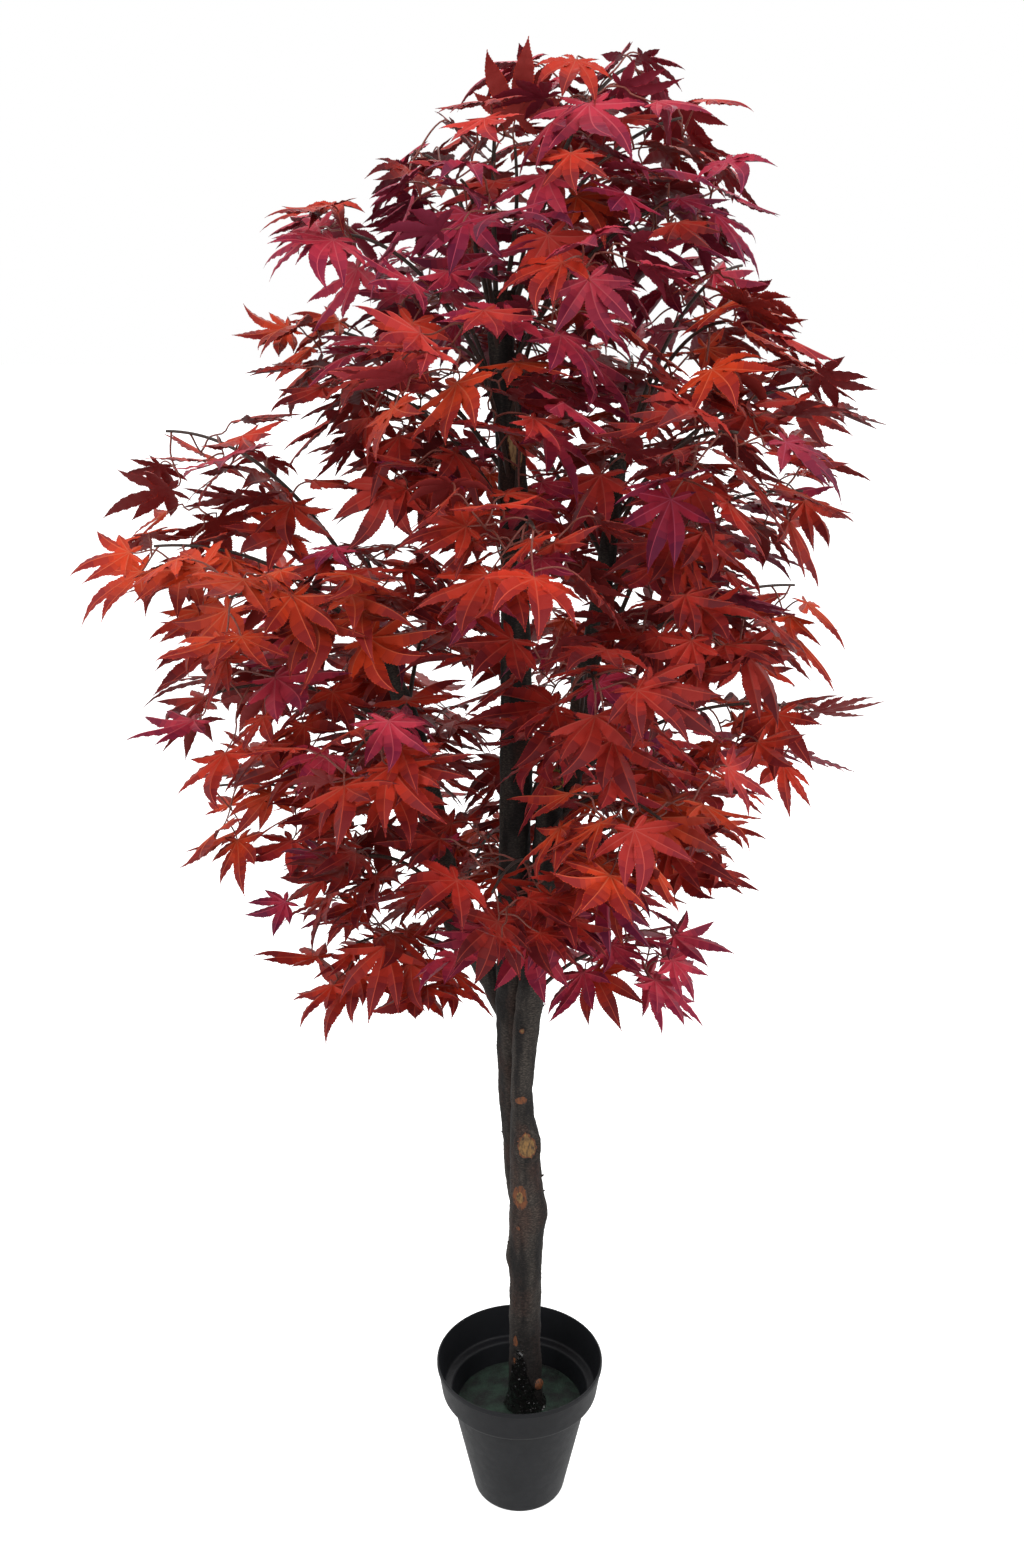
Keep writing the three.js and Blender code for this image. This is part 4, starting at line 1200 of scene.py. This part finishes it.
def scar_piece(name, limb, height, heading, wide, tall, rim, bare, stained, wood="cut_wood"):
    """An oval wound: a rough face, a stained ring and a rim of bark that curls up round it."""
    rho, phi = rings_of(0.02, 1.3, GRIDS["scar"])
    edge = 1 + 0.06 * np.sin(3 * phi + height) + 0.04 * np.sin(5 * phi + 2 * height)
    aside = rho * edge * wide * np.cos(phi)
    above = rho * edge * tall * np.sin(phi)
    radius = limb_at(LIMBS[limb], height)[1]
    points, out = limb_surface(limb, height + above, math.radians(heading) + aside / radius)
    ridge = rim * np.exp(-(((rho - 0.98) / 0.16) ** 2))
    pitted = 0.5 * rough(points + 7, 3.2, 3) * (rho < 0.9)
    lift = 0.5 + ridge + pitted * min(1, rim) - 2.4 * smoothstep(1.08, 1.3, rho)
    points = points + out * lift[..., None]
    flat, faces = closed(points, points[0].mean(axis=0))
    zone = rho[:-1] + 0.1 * rough(points[:-1] + 3, 4, 2)
    slots = np.where(zone < bare, BARE, np.where(zone < stained, STAINED, BARK))
    slots = np.concatenate([slots.ravel(), slots[0]])
    piece(name, flat, [f[:, ::-1] for f in faces], [wood, "stained_wood", "bark"], "bark", slots=slots)


def chips_piece():
    """Little curled flakes, each a cone that leans up off the bark."""
    curves, radii = [], []
    t = np.linspace(0, 1, 6)[:, None]
    for limb, height, heading, length, wide in CHIPS:
        foot, out = (v[0] for v in limb_surface(limb, np.array([float(height)]), np.radians([heading])))
        way = unit(out + (0, 0, 0.9))
        curves.append(foot - out * 2 + (way * t + out * 0.4 * t * t) * (length + 2))
        radii.append(wide * (1 - t[:, 0]) ** 0.7 + 0.15)
    piece("bark_chips", *tubes(np.array(curves), radii, 8), ["bark"], "bark")


def stub_piece():
    """A sawn-off side shoot at the trunk's foot."""
    start, trunk_radius = limb_at(LIMBS["trunk"], STUB["height"])
    way = unit(heading_of(STUB["heading"]) + (0, 0, 0.3))
    t, phi = rings_of(0, 1, GRIDS["stub"])
    across = unit(np.cross(way, (0, 0, 1)))
    above = np.cross(across, way)
    radius = STUB["radius"] * (1.25 - 0.3 * t)
    ring = across * np.cos(phi)[..., None] + above * np.sin(phi)[..., None]
    points = start + way * ((trunk_radius + STUB["reach"]) * t)[..., None] + ring * radius[..., None]
    points = points + ring * (0.7 * rough(points, 5, 3))[..., None]
    flat, faces = closed(points, start, points[-1].mean(axis=0) + way * 0.6)
    slots = np.repeat([BARK, BARK, STAINED], [len(f) for f in faces])
    piece("foot_stub", flat, faces, ["cut_wood", "stained_wood", "bark"], "bark", slots=slots)


def moss_piece():
    """A fuzzy cap: a lumpy dome, with short fibres all over it."""
    centre, radius = limb_at(LIMBS["trunk"], LIMBS["trunk"][-1, 0])
    rho, phi = rings_of(0.02, 1, GRIDS["moss"])
    ways = polar(rho, phi, np.sqrt(np.clip(1 - rho**2, 0, 1)))
    reach = np.array([radius * 1.04, radius * 1.04, MOSS["rise"]])
    hang = MOSS["hang"] * np.clip(-np.sin(phi), 0, 1) * smoothstep(0.7, 1, rho)
    points = centre + ways * reach - (0, 0, 1) * (2 + hang)[..., None]
    points = points + ways * (1.3 * rough(points, 4, 3))[..., None]
    dome, faces = closed(points, points[0].mean(axis=0))
    chance = np.random.default_rng(SEED + 1)
    count = MOSS["fibres"]
    chosen = chance.integers(0, len(dome) - 1, count)
    lean = unit(ways.reshape(-1, 3)[chosen] + chance.normal(0, 0.5, (count, 3)))
    t = np.linspace(0, 1, 3)[None, :, None]
    curves = dome[chosen][:, None] + lean[:, None] * t * chance.uniform(1.5, 3.2, (count, 1, 1))
    fibres, fibre_faces = tubes(curves, np.tile([0.4, 0.3, 0.12], (count, 1)), 3)
    faces += [f + len(dome) for f in fibre_faces]
    piece("moss_cap", np.vstack([dome, fibres]), faces, ["moss"], "bark")


def glue_piece():
    """The black glue round the trunk's foot, which runs higher up the front. Its grey-white flecks are
    painted glints.
    """
    t, phi = rings_of(0, 1, GRIDS["glue"])
    front = np.clip(np.cos(phi - math.radians(GLUE["heading"])), 0, 1)
    top = GLUE["back"] + GLUE["front"] * front**2.4 + GLUE["ragged"] * rough(polar(1, phi, 0) * 12, 6, 2)
    heights = FILL_TOP - 1 + t * top
    points, out = limb_surface("trunk", np.maximum(heights, LIMBS["trunk"][0, 0]), phi)
    points[..., 2] = heights
    thick = 2.6 * (1 - t) ** 4 + 1.1 * np.sqrt(1 - t)
    thick = thick + 1.7 * rough(points, 5, 3) * (1 - t) ** 0.5 - 1.4 * t**3
    flat, faces = closed(points + out * thick[..., None])
    piece("foot_glue", flat, faces, ["glue"], "bark")


# ---------- the pot and its fill ----------

COLLAR_FOOT = POT["height"] - POT["collar"]
POT_ROUND = 3.2
POT_SEGMENTS = 160
FILL_FLOOR = 2.5
FILL_GAP = 0.3  # to the pot's wall


def rounded(profile, radius, steps=5):
    """A profile with each inner corner cut by a curve that starts at most radius away from it."""
    points = np.array(profile, float)
    made = [points[0]]
    for before, corner, after in zip(points, points[1:], points[2:]):
        back, on = before - corner, after - corner
        reach = min(radius, np.linalg.norm(back) * 0.45, np.linalg.norm(on) * 0.45)
        start, end = corner + unit(back) * reach, corner + unit(on) * reach
        for t in np.linspace(0, 1, steps):
            made.append(start * (1 - t) ** 2 + corner * 2 * t * (1 - t) + end * t * t)
    return np.array([*made, points[-1]])


def body_bore(height):
    return lerp(POT["foot"], POT["body_top"], height / COLLAR_FOOT) - POT["wall"]


def pot_piece():
    """A profile of radius and height, up the outside and down the inside, turned about +Z."""
    top, rim, wall = POT["height"], POT["rim"], POT["wall"]
    foot, body_top, collar = POT["foot"], POT["body_top"], POT["collar_foot"]
    ledge = COLLAR_FOOT + wall
    profile = [
        (0, 0), (foot - 1.5, 0), (foot, 3), (body_top, COLLAR_FOOT - 3), (collar, COLLAR_FOOT + 4),
        (rim - 1.2, top - 7), (rim, top - 6.4), (rim, top - 0.6), (rim - wall, top),
        (collar - wall, ledge + 1), (body_bore(ledge), ledge), (body_bore(wall), wall), (0, wall),
    ]
    radii, heights = rounded(profile, POT_ROUND).T
    points = polar(radii[1:-1, None], turns(POT_SEGMENTS), heights[1:-1, None])
    flat, faces = closed(points, [0, 0, heights[0]], [0, 0, heights[-1]])
    piece("pot_shell", flat, faces, ["pot_plastic"], "pot_plastic", ["pot"])


def fill_piece():
    """The fill's top is lumpy, and sinks a little towards the wall. Its sides go down to the pot's floor."""
    edge = body_bore(FILL_TOP) - FILL_GAP
    radii, angles = rings_of(1.5, edge, GRIDS["fill"])
    level = polar(radii, angles, 0)
    lumps = 1.3 * rough(level, 26, 3) + 0.5 * rough(level + 40, 6, 2)
    sunk = 2.5 * smoothstep(edge - 14, edge, radii)
    z = FILL_TOP - 1.6 + lumps * smoothstep(0, 6, edge - radii) - sunk
    top = polar(radii, angles, np.minimum(z, FILL_TOP + 1))
    under = polar(body_bore(FILL_FLOOR) - FILL_GAP, angles[:1], FILL_FLOOR)
    flat, faces = closed(np.vstack([top, under]), [0, 0, z[0].mean()], [0, 0, FILL_FLOOR])
    piece("fill_top", flat, [f[:, ::-1] for f in faces], ["fill"], "fill", ["fill"])


# ---------- the studio ----------

WORLD_BELOW, WORLD_ABOVE = 1.1, 1.3  # strength of the light from all round
# The soft lamps: place and size in metres, and power in watts.
LAMPS = {
    "key": ((-1.7, -2.3, 3.3), 1.4, 36),
    "side_light": ((2.5, -1.6, 2.4), 1.8, 27),
    "back_light": ((0.5, 2.7, 3.0), 1.8, 30),
}
LAMPS_AIM = (0, 0, 1)
CAMERA = {"place": (-0.0100, -1.6727, 1.55), "down": 17.784, "lens": 35.34, "sensor": 36}


def floor():
    """A white floor, which glows a little so that its far edge melts into the white behind it."""
    bpy.ops.mesh.primitive_plane_add(size=60, location=(0, 0, 0))
    made = bpy.context.object
    made.name = "floor"
    nodes = Nodes("floor", 0.9)
    nodes.set("Base Color", (0.8, 0.8, 0.8, 1))
    nodes.set("Emission Color", (1, 1, 1, 1))
    nodes.set("Emission Strength", 0.65)
    made.data.materials.append(nodes.material)
    made.visible_diffuse = False
    made.visible_glossy = False


def studio_world():
    """White to look at, and a softer light from all round, stronger from above than from below."""
    world = bpy.data.worlds.new("studio")
    bpy.context.scene.world = world
    world.use_nodes = True
    tree = world.node_tree
    seen = tree.nodes["Background"]
    seen.inputs["Color"].default_value = (1, 1, 1, 1)
    way = shader_node(tree, "TexCoord", {}).outputs["Generated"]
    up = shader_node(tree, "SeparateXYZ", {"Vector": way}).outputs["Z"]
    ends = {"Value": up, "From Min": -1, "To Min": WORLD_BELOW, "To Max": WORLD_ABOVE}
    strength = shader_node(tree, "MapRange", ends).outputs["Result"]
    lit = shader_node(tree, "Background", {"Strength": strength})
    to_camera = shader_node(tree, "LightPath", {}).outputs["Is Camera Ray"]
    shaders = {1: lit.outputs["Background"], 2: seen.outputs["Background"]}
    mix = shader_node(tree, "MixShader", {"Fac": to_camera, **shaders})
    tree.links.new(mix.outputs["Shader"], tree.nodes["World Output"].inputs["Surface"])


def lights():
    studio_world()
    for name, (place, size, power) in LAMPS.items():
        data = bpy.data.lights.new(name, "AREA")
        data.size = size
        data.energy = power
        lamp = bpy.data.objects.new(name, data)
        lamp.location = place
        lamp.rotation_euler = (Vector(LAMPS_AIM) - Vector(place)).to_track_quat("-Z", "Y").to_euler()
        bpy.context.collection.objects.link(lamp)
    bpy.context.scene.view_settings.view_transform = "Standard"


def camera():
    data = bpy.data.cameras.new("camera")
    data.lens = CAMERA["lens"]
    data.sensor_width = CAMERA["sensor"]
    made = bpy.data.objects.new("camera", data)
    made.location = CAMERA["place"]
    made.rotation_euler = (math.radians(90 - CAMERA["down"]), 0, 0)
    bpy.context.collection.objects.link(made)
    bpy.context.scene.camera = made


# ---------- the tree ----------


def tree():
    foliage = Foliage(all_sprays())
    foliage.grow_first()
    foliage.to_real_size()
    foliage.lift_leaves()
    foliage.grow_finer()
    bark_material()
    plain_materials()
    leaf_pieces(foliage)
    stems_and_twigs(foliage)
    for name, limb in LIMBS.items():
        limb_piece(name, limb)
    for name, scar in SCARS.items():
        scar_piece(name, *scar)
    chips_piece()
    stub_piece()
    moss_piece()
    glue_piece()
    pot_piece()
    fill_piece()


camera()
lights()
floor()
tree()
